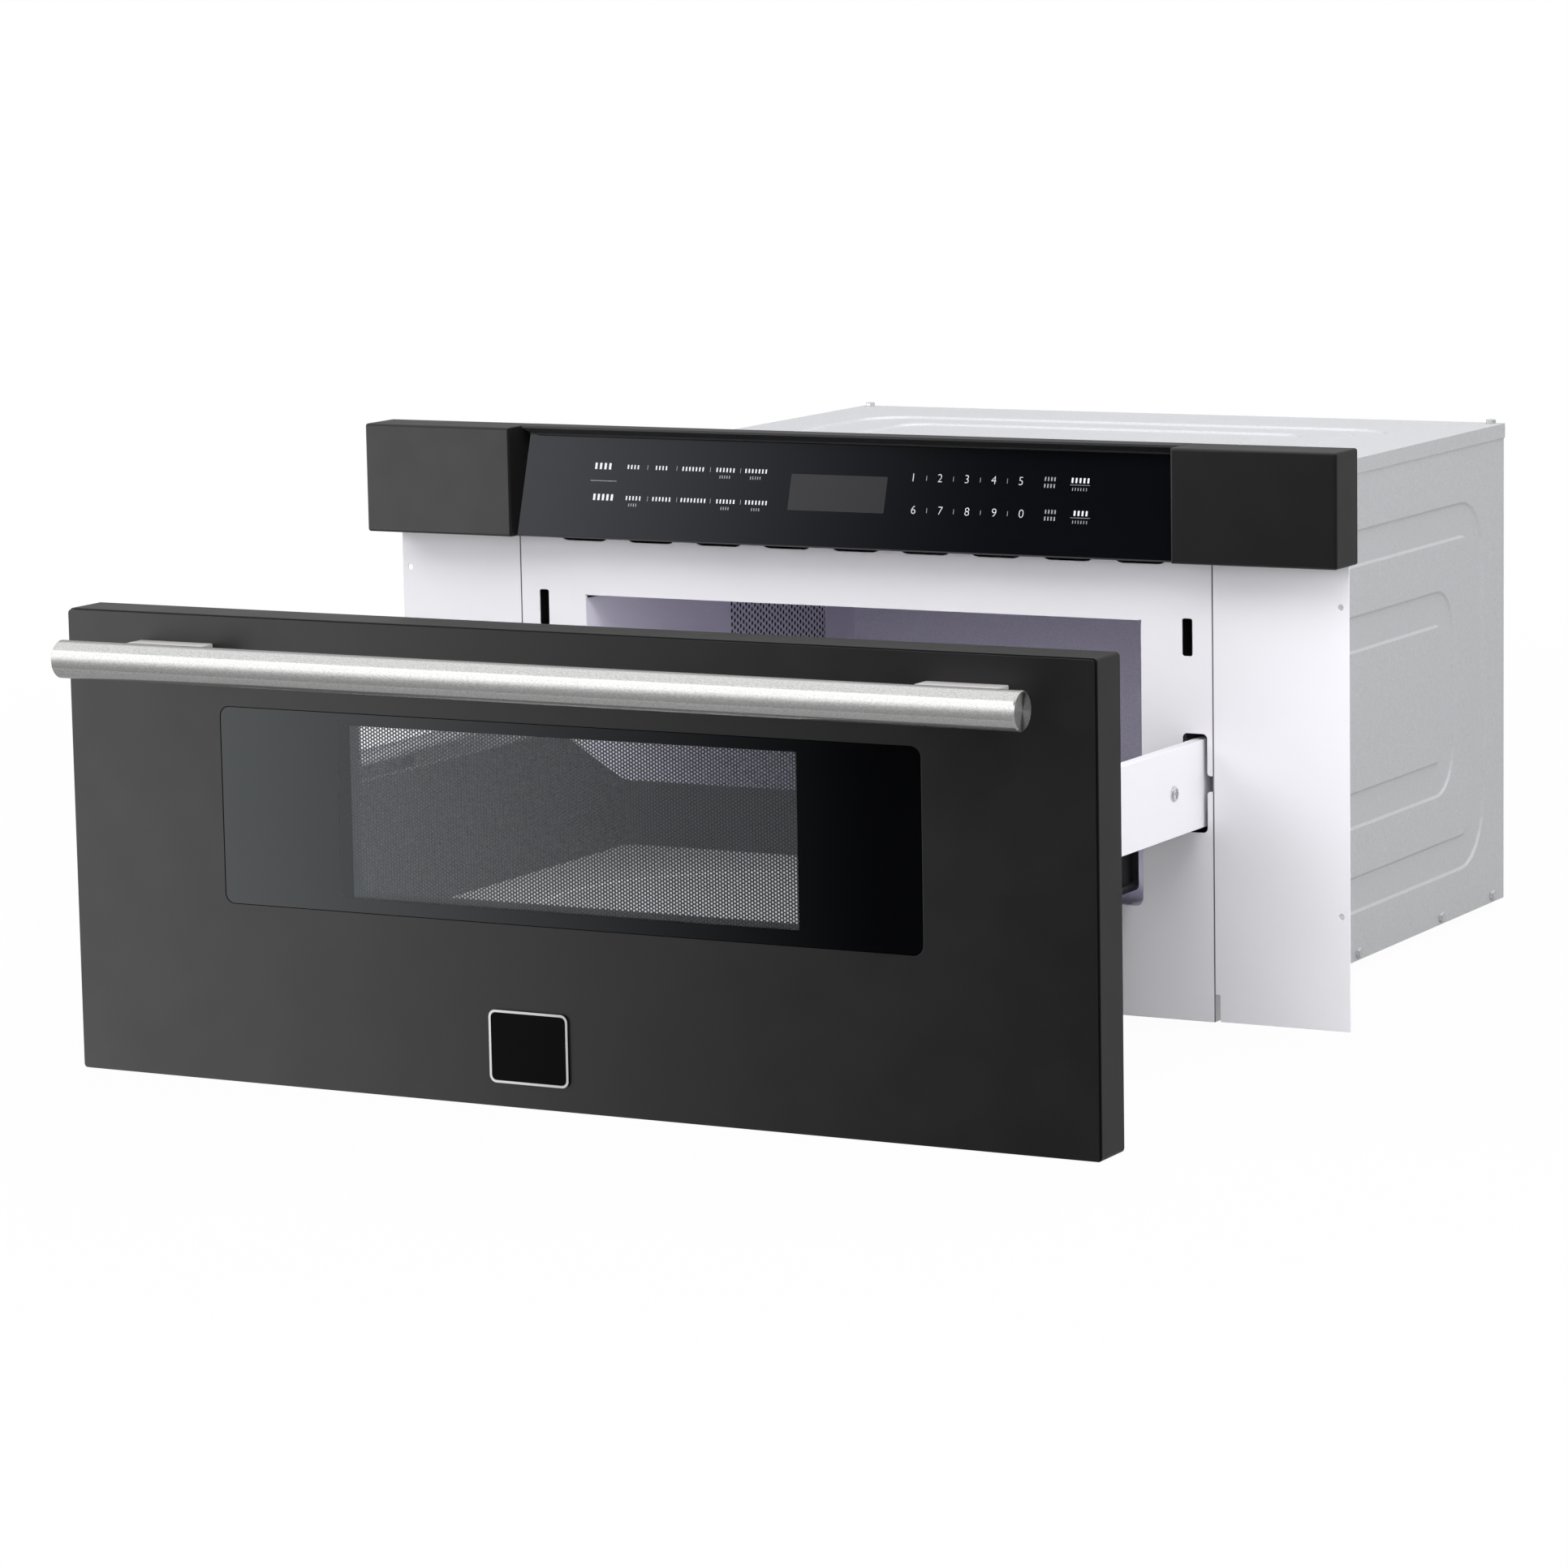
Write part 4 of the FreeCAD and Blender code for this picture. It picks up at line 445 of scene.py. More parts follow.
def punched_sheet(name, u_range, v_range, pitch, radius, sides, to_place):
    """A sheet punched with staggered holes. Each hole has its own six-sided tile of the
    sheet, and to_place turns (across, up, front or back) into a point."""
    column = pitch * math.cos(math.radians(30))
    columns = int((u_range[1] - u_range[0]) / column)
    rows = int((v_range[1] - v_range[0]) / pitch)
    tile = pitch / math.sqrt(3)
    ring = []
    for index in range(sides):
        angle = 2 * math.pi * index / sides
        nearest = (angle + math.pi / 6) % (math.pi / 3) - math.pi / 6
        edge = tile * math.cos(math.pi / 6) / math.cos(abs(abs(nearest) - math.pi / 6))
        ring.append((math.cos(angle), math.sin(angle), edge))
    points = []
    faces = []
    for i in range(columns):
        for j in range(rows):
            u = u_range[0] + (i + 0.5) * column
            v = v_range[0] + (j + 0.5 + 0.5 * (i % 2)) * pitch
            start = len(points)
            for side in (0, 1):
                for c, s, edge in ring:
                    points.append(to_place(u + c * edge, v + s * edge, side))
                    points.append(to_place(u + c * radius, v + s * radius, side))
            for k in range(sides):
                a = start + 2 * k
                b = start + 2 * ((k + 1) % sides)
                back = 2 * sides
                faces.append((a, b, b + 1, a + 1))
                faces.append((a + back, a + back + 1, b + back + 1, b + back))
                faces.append((a + 1, b + 1, b + back + 1, a + back + 1))
    mesh = bpy.data.meshes.new(name)
    mesh.from_pydata(points, [], faces)
    sheet = bpy.data.objects.new(name, mesh)
    bpy.context.scene.collection.objects.link(sheet)
    return sheet


screen_low, screen_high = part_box("vent_screen")
vent_screen = punched_sheet(
    "vent_screen_punched", (screen_low.y, screen_high.y), (screen_low.z, screen_high.z),
    hole_pitch, hole_radius, hole_sides,
    lambda u, v, side: (screen_high.x - side * screen_thickness, u, v))
vent_screen.data.materials.append(enamel)
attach(vent_screen, "cabinet")
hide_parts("vent_screen")

mica = new_finish("stirrer_cover", mica_light, roughness=0.6)
shade_between(mica, noise(mica, 60.0, detail=6.0), mica_dark, mica_light)
dress(mica, "stirrer_cover")


# Inside the cabinet: plated waveguide, magnetron and slides, fan and motors, transformer,
# capacitor, boards and lamp, bolted to the cavity and the base, and black nylon mouldings
# for the fan, the air duct, the latches, the rack's guide and the cord's bushing.
plated = new_finish("plated_steel", (0.62, 0.63, 0.64), roughness=0.35, metallic=0.9)
vary_roughness(plated, noise(plated, 180.0), smooth=0.28, rough=0.45)
dress(plated, "waveguide", "magnetron", "rail_bracket_left", "rail_bracket_right",
      "outer_rail_left", "outer_rail_right", "middle_rail_left", "middle_rail_right",
      "inner_rail_left", "inner_rail_right")

motor_casing = new_finish("motor_casing", (0.36, 0.36, 0.37), roughness=0.45, metallic=0.7)
vary_roughness(motor_casing, noise(motor_casing, 220.0), smooth=0.35, rough=0.55)
dress(motor_casing, "stirrer_motor", "fan_motor", "drive_gearmotor")

bare_aluminium = new_finish("bare_aluminium", (0.76, 0.77, 0.78), roughness=0.32, metallic=1.0)
vary_roughness(bare_aluminium, noise(bare_aluminium, 400.0), smooth=0.25, rough=0.4)
dress(bare_aluminium, "stirrer_fan", "hv_capacitor")

varnished_core = new_finish("varnished_core", (0.10, 0.075, 0.06), roughness=0.5, metallic=0.3)
core_sheets = noise(varnished_core, 30.0, (1, 40, 1))
shade_between(varnished_core, core_sheets, (0.08, 0.06, 0.05), (0.16, 0.11, 0.08))
dress(varnished_core, "hv_transformer")

board_green = new_finish("board_green", (0.02, 0.11, 0.05), roughness=0.35)
shade_between(board_green, noise(board_green, 700.0), (0.015, 0.09, 0.04), (0.04, 0.16, 0.08))
dress(board_green, "power_board", "control_board")

lamp_ceramic = new_finish("lamp_ceramic", (0.78, 0.76, 0.70), roughness=0.5)
shade_between(lamp_ceramic, noise(lamp_ceramic, 90.0), (0.74, 0.72, 0.66), (0.80, 0.78, 0.72))
dress(lamp_ceramic, "oven_lamp")

black_nylon = new_finish("black_nylon", (0.018, 0.018, 0.019), roughness=0.55)
emboss(black_nylon, noise(black_nylon, 2500.0), depth=0.00004, strength=0.5)
dress(black_nylon, "cord_bushing", "fan_shroud", "cooling_fan_wheel", "air_duct",
      "latch_carrier_left", "latch_carrier_right", "interlock_switches", "rack_guide")


# Touch panel: a folded black steel cap at each end, a moulded housing between them, and a
# black-backed glass that leans back 17 degrees and is printed on its front. The left cap's
# cheek isn't mirrored in the glass.
satin_black = (0.0075, 0.0075, 0.0077)
glass_black = (0.003, 0.0033, 0.0045)
glass_tint = (0.90, 0.92, 1.0)
glass_lean = math.radians(17.26)
glass_thickness = 0.003
glass_edge = 0.0012
mark_lift = 0.00006
glass_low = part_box("control_glass")[0]
glass_foot = Vector((0, glass_low.y, glass_low.z + glass_thickness * math.sin(glass_lean)))
glass_up = Vector((0, math.sin(glass_lean), math.cos(glass_lean)))
glass_out = Vector((0, -math.cos(glass_lean), math.sin(glass_lean)))

cap_paint = new_finish("cap_paint", satin_black, roughness=0.38)
vary_roughness(cap_paint, noise(cap_paint, 35.0), smooth=0.36, rough=0.42)
emboss(cap_paint, noise(cap_paint, 2600.0, detail=2.0), depth=0.00001, strength=0.25)
dress(cap_paint, "end_cap_left", "end_cap_right")
nodes["end_cap_left"].visible_glossy = False

moulded_black = new_finish("moulded_black", (0.02, 0.02, 0.022), roughness=0.5)
emboss(moulded_black, noise(moulded_black, 1800.0), depth=0.00006, strength=0.6)
dress(moulded_black, "control_housing")
soften(0.0005, "end_cap_left", "end_cap_right", "control_housing")

black_glass = new_finish("black_glass", glass_black, roughness=0.1)
vary_roughness(black_glass, noise(black_glass, 4.0), smooth=0.09, rough=0.11)
shader_of(black_glass).inputs["Specular Tint"].default_value = (*glass_tint, 1)
dress(black_glass, "control_glass")


def on_glass(x, up):
    """The point at x and that far up the glass from its lower edge, just off its front."""
    return Vector((x, 0, 0)) + glass_foot + glass_up * (up - glass_edge) + glass_out * mark_lift


def flat_marks(name, outlines, material):
    """Printed marks on the glass. Each is a flat outline of points across and up."""
    points = []
    faces = []
    for outline in outlines:
        faces.append(tuple(range(len(points), len(points) + len(outline))))
        points += [on_glass(x, up) for x, up in outline]
    mesh = bpy.data.meshes.new(name)
    mesh.from_pydata(points, [], faces)
    marks = bpy.data.objects.new(name, mesh)
    bpy.context.scene.collection.objects.link(marks)
    marks.data.materials.append(material)
    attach(marks, "cabinet")


def block(x, up, width, height):
    return [(x - width / 2, up - height / 2), (x + width / 2, up - height / 2),
            (x + width / 2, up + height / 2), (x - width / 2, up + height / 2)]


# The print on the glass: a grey field for the display, a row of small blocks as each key's
# label, thin bars between the keys, and plain digits.
display_middle = (-0.0046, 0.0393)
display_size = (0.076, 0.026)
upper_row = 0.0532
lower_row = 0.0306
lower_shift = 0.0030
upper_left_x = -0.1955
lower_left_x = -0.1925
left_line_middle = (-0.1938, 0.0425)
left_line_size = (0.0215, 0.0004)
key_x = (-0.1708, -0.1478, -0.1220, -0.0958, -0.0712)
upper_letters = (4, 4, 7, 6, 7)
lower_letters = (5, 6, 8, 6, 7)
separator_x = (-0.1590, -0.1352, -0.1080, -0.0836)
separator_size = (0.0004, 0.0034)
second_line_drop = 0.0050
digit_rows = (0.0523, 0.0294)
digit_height = 0.0060
digit_of_em = 0.70
digit_thinner = 0.00016
digit_pitch = 0.0208
first_digit = 0.0533
inner_right_x = 0.1585
inner_right_rise = 0.0024
outer_right_x = 0.1815
outer_right_rise = 0.0020
outer_line_drop = 0.0012
outer_line_size = (0.0150, 0.0003)
outer_note_drop = 0.0042

# Each kind of label: the height of its blocks, the pitch from one to the next, and their width.
upper_left_label = (0.0046, 0.0038, 0.0018)
lower_left_label = (0.0046, 0.0036, 0.0018)
key_label = (0.0030, 0.0027, 0.0011)
key_second_line = (0.0022, 0.0019, 0.0007)
inner_right_label = (0.0028, 0.0024, 0.0010)
outer_right_label = (0.0036, 0.0030, 0.0014)
outer_right_note = (0.0022, 0.0021, 0.0006)

display_grey = new_finish("display_window", (0.028, 0.028, 0.031), roughness=0.12)
vary_roughness(display_grey, noise(display_grey, 40.0), smooth=0.1, rough=0.14)
flat_marks("display_window", [block(*display_middle, *display_size)], display_grey)

print_white = new_finish("print_white", (0.72, 0.73, 0.75), roughness=0.5)
shade_between(print_white, noise(print_white, 900.0), (0.66, 0.67, 0.69), (0.74, 0.75, 0.77))
print_grey = new_finish("print_grey", (0.30, 0.31, 0.33), roughness=0.5)
shade_between(print_grey, noise(print_grey, 900.0), (0.25, 0.26, 0.28), (0.32, 0.33, 0.35))


def label(x, up, letters, kind):
    """A row of small blocks, with its middle at x."""
    height, pitch, width = kind
    first = x - (letters - 1) / 2 * pitch
    return [block(first + index * pitch, up, width, height) for index in range(letters)]


white_marks = label(upper_left_x, upper_row, 4, upper_left_label)
white_marks += label(lower_left_x, lower_row, 5, lower_left_label)
for x, upper, lower in zip(key_x, upper_letters, lower_letters):
    white_marks += label(x, upper_row, upper, key_label)
    white_marks += label(x + lower_shift, lower_row, lower, key_label)
for row, shift, letters in zip(digit_rows, (0, lower_shift), (5, 4)):
    white_marks += label(outer_right_x + shift, row + outer_right_rise, letters, outer_right_label)
flat_marks("key_marks", white_marks, print_white)

grey_marks = [block(*left_line_middle, *left_line_size)]
for x in separator_x:
    grey_marks.append(block(x, upper_row, *separator_size))
    grey_marks.append(block(x + lower_shift, lower_row, *separator_size))
for x in (key_x[3], key_x[4]):
    grey_marks += label(x, upper_row - second_line_drop, 5, key_second_line)
for x in (key_x[0], key_x[3], key_x[4]):
    grey_marks += label(x + lower_shift, lower_row - second_line_drop, 4, key_second_line)
for row, shift in zip(digit_rows, (0, lower_shift)):
    for rise in (inner_right_rise, -inner_right_rise):
        grey_marks += label(inner_right_x + shift, row + rise, 4, inner_right_label)
    grey_marks.append(block(outer_right_x + shift, row - outer_line_drop, *outer_line_size))
    grey_marks += label(outer_right_x + shift, row - outer_note_drop, 6, outer_right_note)
    for index in range(4):
        x = first_digit + (index + 0.5) * digit_pitch + shift
        grey_marks.append(block(x, row, *separator_size))
flat_marks("key_separators", grey_marks, print_grey)


def digit_mesh(text, x, up):
    curve = bpy.data.curves.new("digit", "FONT")
    curve.body = text
    curve.size = digit_height / digit_of_em
    curve.offset = -digit_thinner
    curve.align_x = "CENTER"
    curve.align_y = "CENTER"
    shown = bpy.data.objects.new("digit", curve)
    mesh = bpy.data.meshes.new_from_object(shown)
    turn = Matrix((Vector((1, 0, 0)), glass_up, glass_out)).transposed().to_4x4()
    mesh.transform(Matrix.Translation(on_glass(x, up)) @ turn)
    bpy.data.objects.remove(shown)
    return mesh


digits = bmesh.new()
for row, shift, text in zip(digit_rows, (0, lower_shift), ("12345", "67890")):
    for index, digit in enumerate(text):
        digits.from_mesh(digit_mesh(digit, first_digit + index * digit_pitch + shift, row))
key_digits = bpy.data.objects.new("key_digits", bpy.data.meshes.new("key_digits"))
digits.to_mesh(key_digits.data)
digits.free()
bpy.context.scene.collection.objects.link(key_digits)
key_digits.data.materials.append(print_white)
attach(key_digits, "cabinet")


# Door: a flat steel skin over a folded steel pan, both in satin black paint, with a thin
# shadow gap between them, which has no shine.
seam_before = 0.0004
seam_behind = 0.0017
paint_shine = 0.5
skin_low, skin_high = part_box("door_skin")

door_paint = new_finish("door_paint", satin_black, roughness=0.36)
vary_roughness(door_paint, noise(door_paint, 28.0), smooth=0.34, rough=0.40)
emboss(door_paint, noise(door_paint, 2400.0, detail=2.0), depth=0.00001, strength=0.25)
tree = door_paint.node_tree
seam = between(door_paint, "Y", skin_low.y + seam_before, skin_high.y + seam_behind)
lost_shine = combine(tree, "MULTIPLY", seam, paint_shine)
shine = combine(tree, "SUBTRACT", paint_shine, lost_shine)
link(tree, shine, shader_of(door_paint).inputs["Specular IOR Level"])
dress(door_paint, "door_skin", "door_frame")
soften(0.0003, "door_skin", "door_frame")


# Window: smoked toughened glass set flush in the skin, printed black round its edge, over a
# punched steel screen that keeps the microwaves in. The screen is a folded pan with a field
# of small holes in its middle.
clear_x = (-0.1689, 0.1725)
clear_z = (0.1255, 0.2403)
print_black = (0.0015, 0.0016, 0.002)
glass_clear = (0.90, 0.91, 0.93)
window_tint = (0.90, 0.96, 1.0)
window_bend = 1.55
first_hole_x = -0.1614
mesh_pitch = 0.00244
mesh_hole = 0.00092
mesh_sides = 6
mesh_thickness = 0.0004
mesh_inset = 0.0005
screen_shine = 0.05
corner_reach = 0.00001
pan_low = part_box("window_screen")[0]

smoked_glass = new_finish("smoked_glass", print_black, roughness=0.02)
tree = smoked_glass.node_tree
clear_zone = combine(tree, "MULTIPLY", between(smoked_glass, "X", *clear_x),
                     between(smoked_glass, "Z", *clear_z))
shade_between(smoked_glass, clear_zone, print_black, glass_clear)
link(tree, clear_zone, shader_of(smoked_glass).inputs["Transmission Weight"])
shader_of(smoked_glass).inputs["IOR"].default_value = window_bend
shader_of(smoked_glass).inputs["Specular Tint"].default_value = (*window_tint, 1)
dress(smoked_glass, "window_glass")

screen_black = new_finish("screen_black", (0.012, 0.012, 0.015), roughness=0.6)
vary_roughness(screen_black, noise(screen_black, 300.0), smooth=0.55, rough=0.65)
shader_of(screen_black).inputs["Specular IOR Level"].default_value = screen_shine


def welded_copy(node_name, name):
    """A copy of a node's mesh as a new piece, with its split corners joined again."""
    piece = bpy.data.objects.new(name, nodes[node_name].data.copy())
    bpy.context.scene.collection.objects.link(piece)
    work = bmesh.new()
    work.from_mesh(piece.data)
    bmesh.ops.remove_doubles(work, verts=work.verts, dist=corner_reach)
    work.to_mesh(piece.data)
    work.free()
    return piece


def cut_box(piece, low, high):
    """Cuts a box-shaped opening out of a piece."""
    cutter = bpy.data.objects.new("cutter", bpy.data.meshes.new("cutter"))
    bpy.context.scene.collection.objects.link(cutter)
    shape = bmesh.new()
    bmesh.ops.create_cube(shape, size=1.0)
    middle = (Vector(low) + Vector(high)) / 2
    size = Vector(high) - Vector(low)
    for corner in shape.verts:
        corner.co = Vector(c * s for c, s in zip(corner.co, size)) + middle
    shape.to_mesh(cutter.data)
    shape.free()
    cut = piece.modifiers.new("opening", "BOOLEAN")
    cut.operation = "DIFFERENCE"
    cut.solver = "EXACT"
    cut.object = cutter
    graph = bpy.context.evaluated_depsgraph_get()
    made = bpy.data.meshes.new_from_object(piece.evaluated_get(graph))
    piece.modifiers.clear()
    piece.data = made
    bpy.data.objects.remove(cutter)


# The pan's opening is a little smaller than the field of holes, so that the two overlap.
hole_x = (first_hole_x, clear_x[1] + mesh_pitch)
hole_z = (clear_z[0] - mesh_pitch / 2, clear_z[1] + mesh_pitch)
overlap = 0.0006
overlap_top = 0.0012
cut_before = 0.001
cut_behind = 0.005

screen_pan = welded_copy("window_screen", "window_screen_pan")
cut_box(screen_pan, (hole_x[0] + overlap, pan_low.y - cut_before, hole_z[0] + overlap),
        (hole_x[1] - overlap, pan_low.y + cut_behind, hole_z[1] - overlap_top))
screen_pan.data.materials.clear()
screen_pan.data.materials.append(screen_black)
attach(screen_pan, "drawer")
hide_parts("window_screen")

sheet_front = pan_low.y + mesh_inset
window_mesh = punched_sheet(
    "window_screen_mesh", hole_x, hole_z, mesh_pitch, mesh_hole, mesh_sides,
    lambda u, v, side: (u, sheet_front + side * mesh_thickness, v))
window_mesh.data.materials.append(screen_black)
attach(window_mesh, "drawer")


# Badge: a small plain black plate with rounded corners and a bright raised rim, stuck on below
# the window.
badge_face = (0.002, 0.002, 0.0023)
badge_bright = (0.78, 0.78, 0.79)
badge_shine = 0.05
rim_depth = 0.0001
badge_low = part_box("badge_plate")[0]

badge_black = new_finish("badge_black", badge_face, roughness=0.18)
rim = between(badge_black, "Y", badge_low.y - rim_depth, badge_low.y + rim_depth)
shade_between(badge_black, rim, badge_face, badge_bright)
link(badge_black.node_tree, rim, shader_of(badge_black).inputs["Metallic"])
shader_of(badge_black).inputs["Specular IOR Level"].default_value = badge_shine
dress(badge_black, "badge_plate")


# Handle: a solid stainless bar on two welded posts. It is brushed along its length and spun
# on its ends, with a small chamfer, and isn't mirrored in the door's paint.
bar_radius = 0.0127
bar_chamfer = 0.0009
bar_sides = 144
bar_steel = (0.62, 0.618, 0.614)
post_steel = (0.72, 0.70, 0.695)
bar_low, bar_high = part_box("handle_bar")


def turned_bar(name):
    """The bar along X: its length, a chamfer at each end, and a flat disc on each end."""
    bands = (((bar_low.x + bar_chamfer, bar_radius), (bar_high.x - bar_chamfer, bar_radius)),
             ((bar_low.x, bar_radius - bar_chamfer), (bar_low.x + bar_chamfer, bar_radius)),
             ((bar_high.x - bar_chamfer, bar_radius), (bar_high.x, bar_radius - bar_chamfer)))
    middle = (bar_low + bar_high) / 2
    turned = bmesh.new()

    def ring_at(x, radius):
        ring = []
        for index in range(bar_sides):
            angle = 2 * math.pi * index / bar_sides
            offset = (0, radius * math.cos(angle), radius * math.sin(angle))
            ring.append(turned.verts.new(Vector((x, middle.y, middle.z)) + Vector(offset)))
        return ring

    for (first_x, first_radius), (last_x, last_radius) in bands:
        first = ring_at(first_x, first_radius)
        last = ring_at(last_x, last_radius)
        for index in range(bar_sides):
            following = (index + 1) % bar_sides
            face = turned.faces.new((first[index], first[following], last[following], last[index]))
            face.smooth = True
    for x in (bar_low.x, bar_high.x):
        disc = turned.faces.new(ring_at(x, bar_radius - bar_chamfer))
        disc.material_index = 1
        if x < 0:
            disc.normal_flip()
    mesh = bpy.data.meshes.new(name)
    turned.to_mesh(mesh)
    turned.free()
    return mesh


brushed = new_finish("brushed_stainless", bar_steel, roughness=0.15, metallic=0.86)
streaks = noise(brushed, 1500.0, (0.40, 1, 1))
shade_between(brushed, streaks, tint(bar_steel, 0.86), tint(bar_steel, 1.03), low=0.35, high=0.62)
emboss(brushed, streaks, depth=0.000004, strength=0.3)

spun = new_finish("spun_stainless", tint(bar_steel, 0.9), roughness=0.30, metallic=1.0)
turns = spun.node_tree.nodes.new("ShaderNodeTangent")
turns.direction_type = "RADIAL"
turns.axis = "X"
link(spun.node_tree, turns.outputs[0], shader_of(spun).inputs["Tangent"])
shader_of(spun).inputs["Anisotropic"].default_value = 0.95
shader_of(spun).inputs["Anisotropic Rotation"].default_value = 0.25
vary_roughness(spun, noise(spun, 900.0), smooth=0.26, rough=0.34)

bar_piece = bpy.data.objects.new("handle_bar_turned", turned_bar("handle_bar_turned"))
bpy.context.scene.collection.objects.link(bar_piece)
bar_piece.data.materials.append(brushed)
bar_piece.data.materials.append(spun)
bar_piece.visible_glossy = False
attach(bar_piece, "drawer")
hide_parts("handle_bar")

cast_steel = new_finish("cast_posts", post_steel, roughness=0.45, metallic=0.45)
post_grain = noise(cast_steel, 1200.0, (0.5, 1, 1))
shade_between(cast_steel, post_grain, tint(post_steel, 0.96), tint(post_steel, 1.02))
dress(cast_steel, "handle_post_left", "handle_post_right")
soften(0.0003, "handle_post_left", "handle_post_right")


# Strip light: a long glowing film just in front of the soft box, which lights the bar alone.
# Its upper edge is sharp and its lower edge fades. The levels go from its foot to its top.
strip_x = (-3, 3)
strip_y = -1.55
strip_z = (-1.3, 1.67)
strip_strength = 1.67
strip_levels = ((0.125, 0.0), (0.13, 0.18), (0.29, 0.156), (0.418, 0.20), (0.498, 0.32),
                (0.556, 0.60), (0.646, 1.0), (0.859, 1.0), (0.866, 0.57), (0.996, 0.41))

strip_light = bare_material("strip_light")
tree = strip_light.node_tree
height = tree.nodes.new("ShaderNodeMapRange")
height.inputs["From Min"].default_value = strip_z[0]
height.inputs["From Max"].default_value = strip_z[1]
link(tree, place_axes(tree)["Z"], height.inputs["Value"])
levels = tree.nodes.new("ShaderNodeValToRGB")
link(tree, height.outputs["Result"], levels.inputs["Fac"])
levels.color_ramp.elements[0].color = (0, 0, 0, 1)
for position, level in strip_levels:
    levels.color_ramp.elements.new(position).color = (level, level, level, 1)
glow = tree.nodes.new("ShaderNodeEmission")
link(tree, levels.outputs["Color"], glow.inputs["Color"])
glow.inputs["Strength"].default_value = strip_strength
clear = tree.nodes.new("ShaderNodeBsdfTransparent")
film = tree.nodes.new("ShaderNodeAddShader")
link(tree, glow.outputs[0], film.inputs[0])
link(tree, clear.outputs[0], film.inputs[1])
cover_with(tree, film)
strip = glowing_card("strip_light", strip_x, strip_y, strip_z, strip_light)


def light_for(light, piece, state):
    """Lets a light fall on this piece alone, or on all but this piece."""
    chosen = bpy.data.collections.new(light.name + "_on")
    chosen.objects.link(piece)
    chosen.collection_objects[0].light_linking.link_state = state
    light.light_linking.receiver_collection = chosen


light_for(strip, bar_piece, "INCLUDE")
light_for(soft_box, bar_piece, "EXCLUDE")


# Screws of the drawer: zinc-plated pan heads with a cross recess. They hold the rail arms to
# the slides, and the posts to the door from behind.
arm_head_radius = 0.0052
head_rim = 0.45
recess_depth = 0.5


def pan_head(radius, height, segments=40, rings=9, cross_width=0.14, cross_reach=0.62):
    """A domed head on the XY plane, with its cross pressed in."""
    shape = bmesh.new()
    loops = []
    for ring in range(rings + 1):
        part = 1 - ring / rings
        lift = height * (head_rim + (1 - head_rim) * math.sqrt(max(0, 1 - part ** 2)))
        loop = []
        for index in range(segments):
            angle = 2 * math.pi * index / segments
            x = part * math.cos(angle)
            y = part * math.sin(angle)
            reach = max(abs(x), abs(y))
            narrow = min(abs(x), abs(y))
            sunk = recess_depth * height if reach < cross_reach and narrow < cross_width else 0
            loop.append(shape.verts.new((x * radius, y * radius, lift - sunk)))
            if part == 0:
                break
        loops.append(loop)
    foot = [shape.verts.new((v.co.x, v.co.y, 0)) for v in loops[0]]
    loops.insert(0, foot)
    for low, high in zip(loops, loops[1:]):
        for index in range(segments):
            following = (index + 1) % segments
            if len(high) == 1:
                shape.faces.new((low[index], low[following], high[0]))
            else:
                shape.faces.new((low[index], low[following], high[following], high[index]))
    shape.faces.new(list(reversed(foot)))
    mesh = bpy.data.meshes.new("pan_head")
    shape.to_mesh(mesh)
    shape.free()
    return mesh


def island_boxes(node_name):
    """The box of each separate solid of a node."""
    work = bmesh.new()
    work.from_mesh(nodes[node_name].data)
    bmesh.ops.remove_doubles(work, verts=work.verts, dist=corner_reach)
    left = set(work.verts)
    boxes = []
    while left:
        stack = [left.pop()]
        points = []
        while stack:
            corner = stack.pop()
            points.append(corner.co.copy())
            for edge in corner.link_edges:
                other = edge.other_vert(corner)
                if other in left:
                    left.discard(other)
                    stack.append(other)
        low = Vector(min(p[i] for p in points) for i in range(3))
        high = Vector(max(p[i] for p in points) for i in range(3))
        boxes.append((low, high))
    work.free()
    return boxes


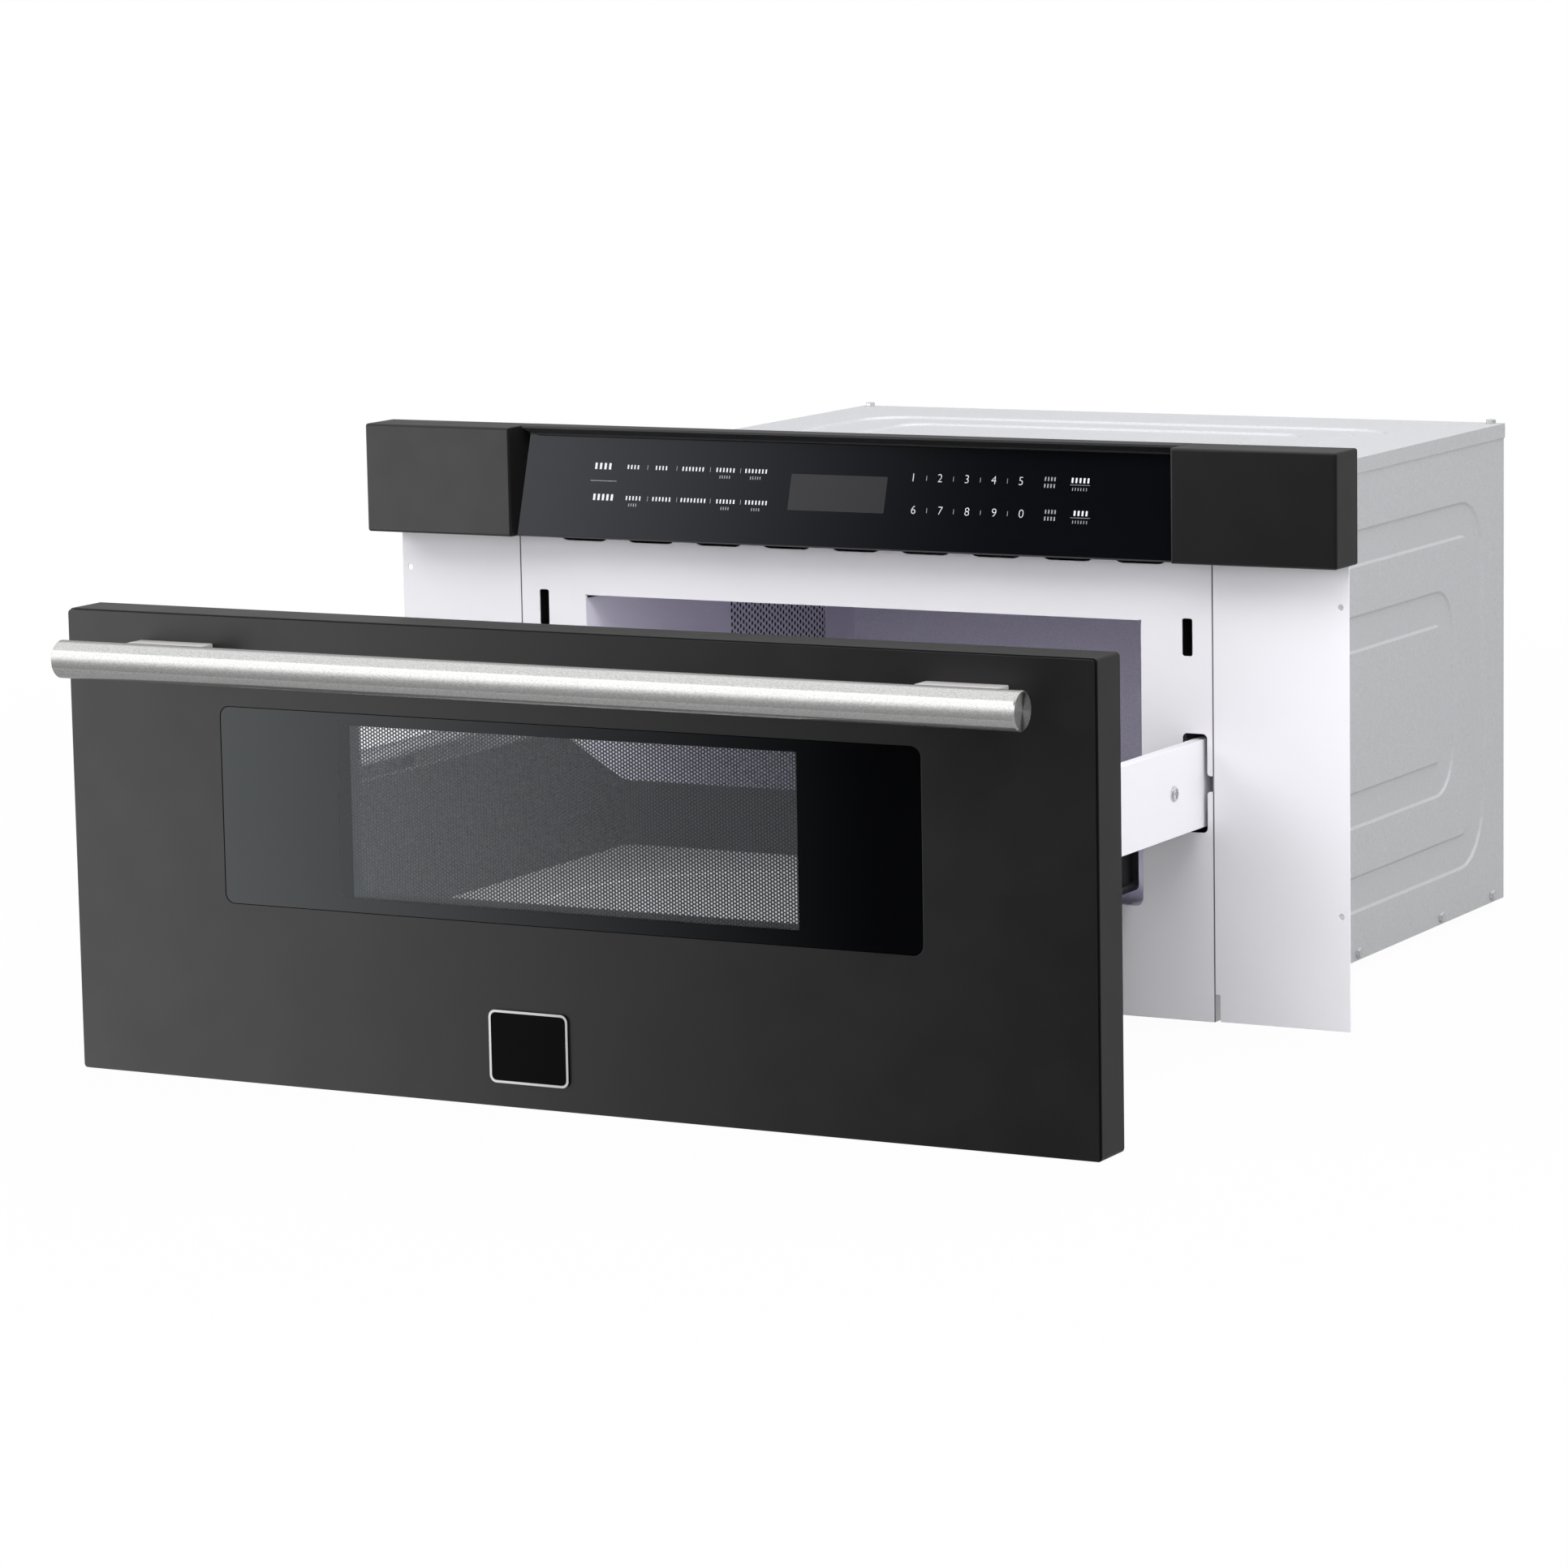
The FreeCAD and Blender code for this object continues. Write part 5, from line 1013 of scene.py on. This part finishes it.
heads = bmesh.new()
for low, high in island_boxes("drawer_screws"):
    size = high - low
    middle = (low + high) / 2
    thin = min(range(3), key=lambda i: size[i])
    if thin == 0:
        side = 1 if middle.x > 0 else -1
        radius = arm_head_radius
        foot = Vector((low.x if side > 0 else high.x, middle.y, middle.z))
        outward = Vector((side, 0, 0))
    else:
        radius = max(size) / 2
        foot = Vector((middle.x, low.y, middle.z))
        outward = Vector((0, 1, 0))
    head = pan_head(radius, size[thin])
    turn = outward.to_track_quat("Z", "Y").to_matrix().to_4x4()
    head.transform(Matrix.Translation(foot) @ turn)
    heads.from_mesh(head)
head_mesh = bpy.data.meshes.new("drawer_pan_heads")
heads.to_mesh(head_mesh)
heads.free()
for polygon in head_mesh.polygons:
    polygon.use_smooth = True
drawer_heads = bpy.data.objects.new("drawer_pan_heads", head_mesh)
bpy.context.scene.collection.objects.link(drawer_heads)
drawer_heads.data.materials.append(zinc)
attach(drawer_heads, "drawer")
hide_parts("drawer_screws")


# Tub, inner cover and tray: a ribbed tub on the drawer and a cover on the door's inner side,
# both in the black plastic of the panel's housing, and a white glazed ceramic tray in the tub.
dress(moulded_black, "drawer_tub", "choke_cover")
soften(0.0005, "drawer_tub", "choke_cover")

glaze = new_finish("white_glaze", (0.80, 0.80, 0.80), roughness=0.12)
shade_between(glaze, noise(glaze, 25.0), (0.77, 0.77, 0.775), (0.82, 0.82, 0.82))
shader_of(glaze).inputs["Coat Weight"].default_value = 0.4
emboss(glaze, noise(glaze, 60.0, detail=1.0), depth=0.00005, strength=0.2)
dress(glaze, "ceramic_tray")


# Drive and latches: rack, pinion and hooks in natural nylon, which is off-white and lets a
# little light in. The rack reaches back under the tub from a foot on the door, and the hooks
# stand behind the door.
nylon = new_finish("natural_nylon", (0.70, 0.69, 0.64), roughness=0.45)
shade_between(nylon, noise(nylon, 45.0), (0.66, 0.65, 0.60), (0.72, 0.71, 0.66))
shader_of(nylon).inputs["Subsurface Weight"].default_value = 0.1
dress(nylon, "drive_pinion", "drive_rack", "latch_hooks")
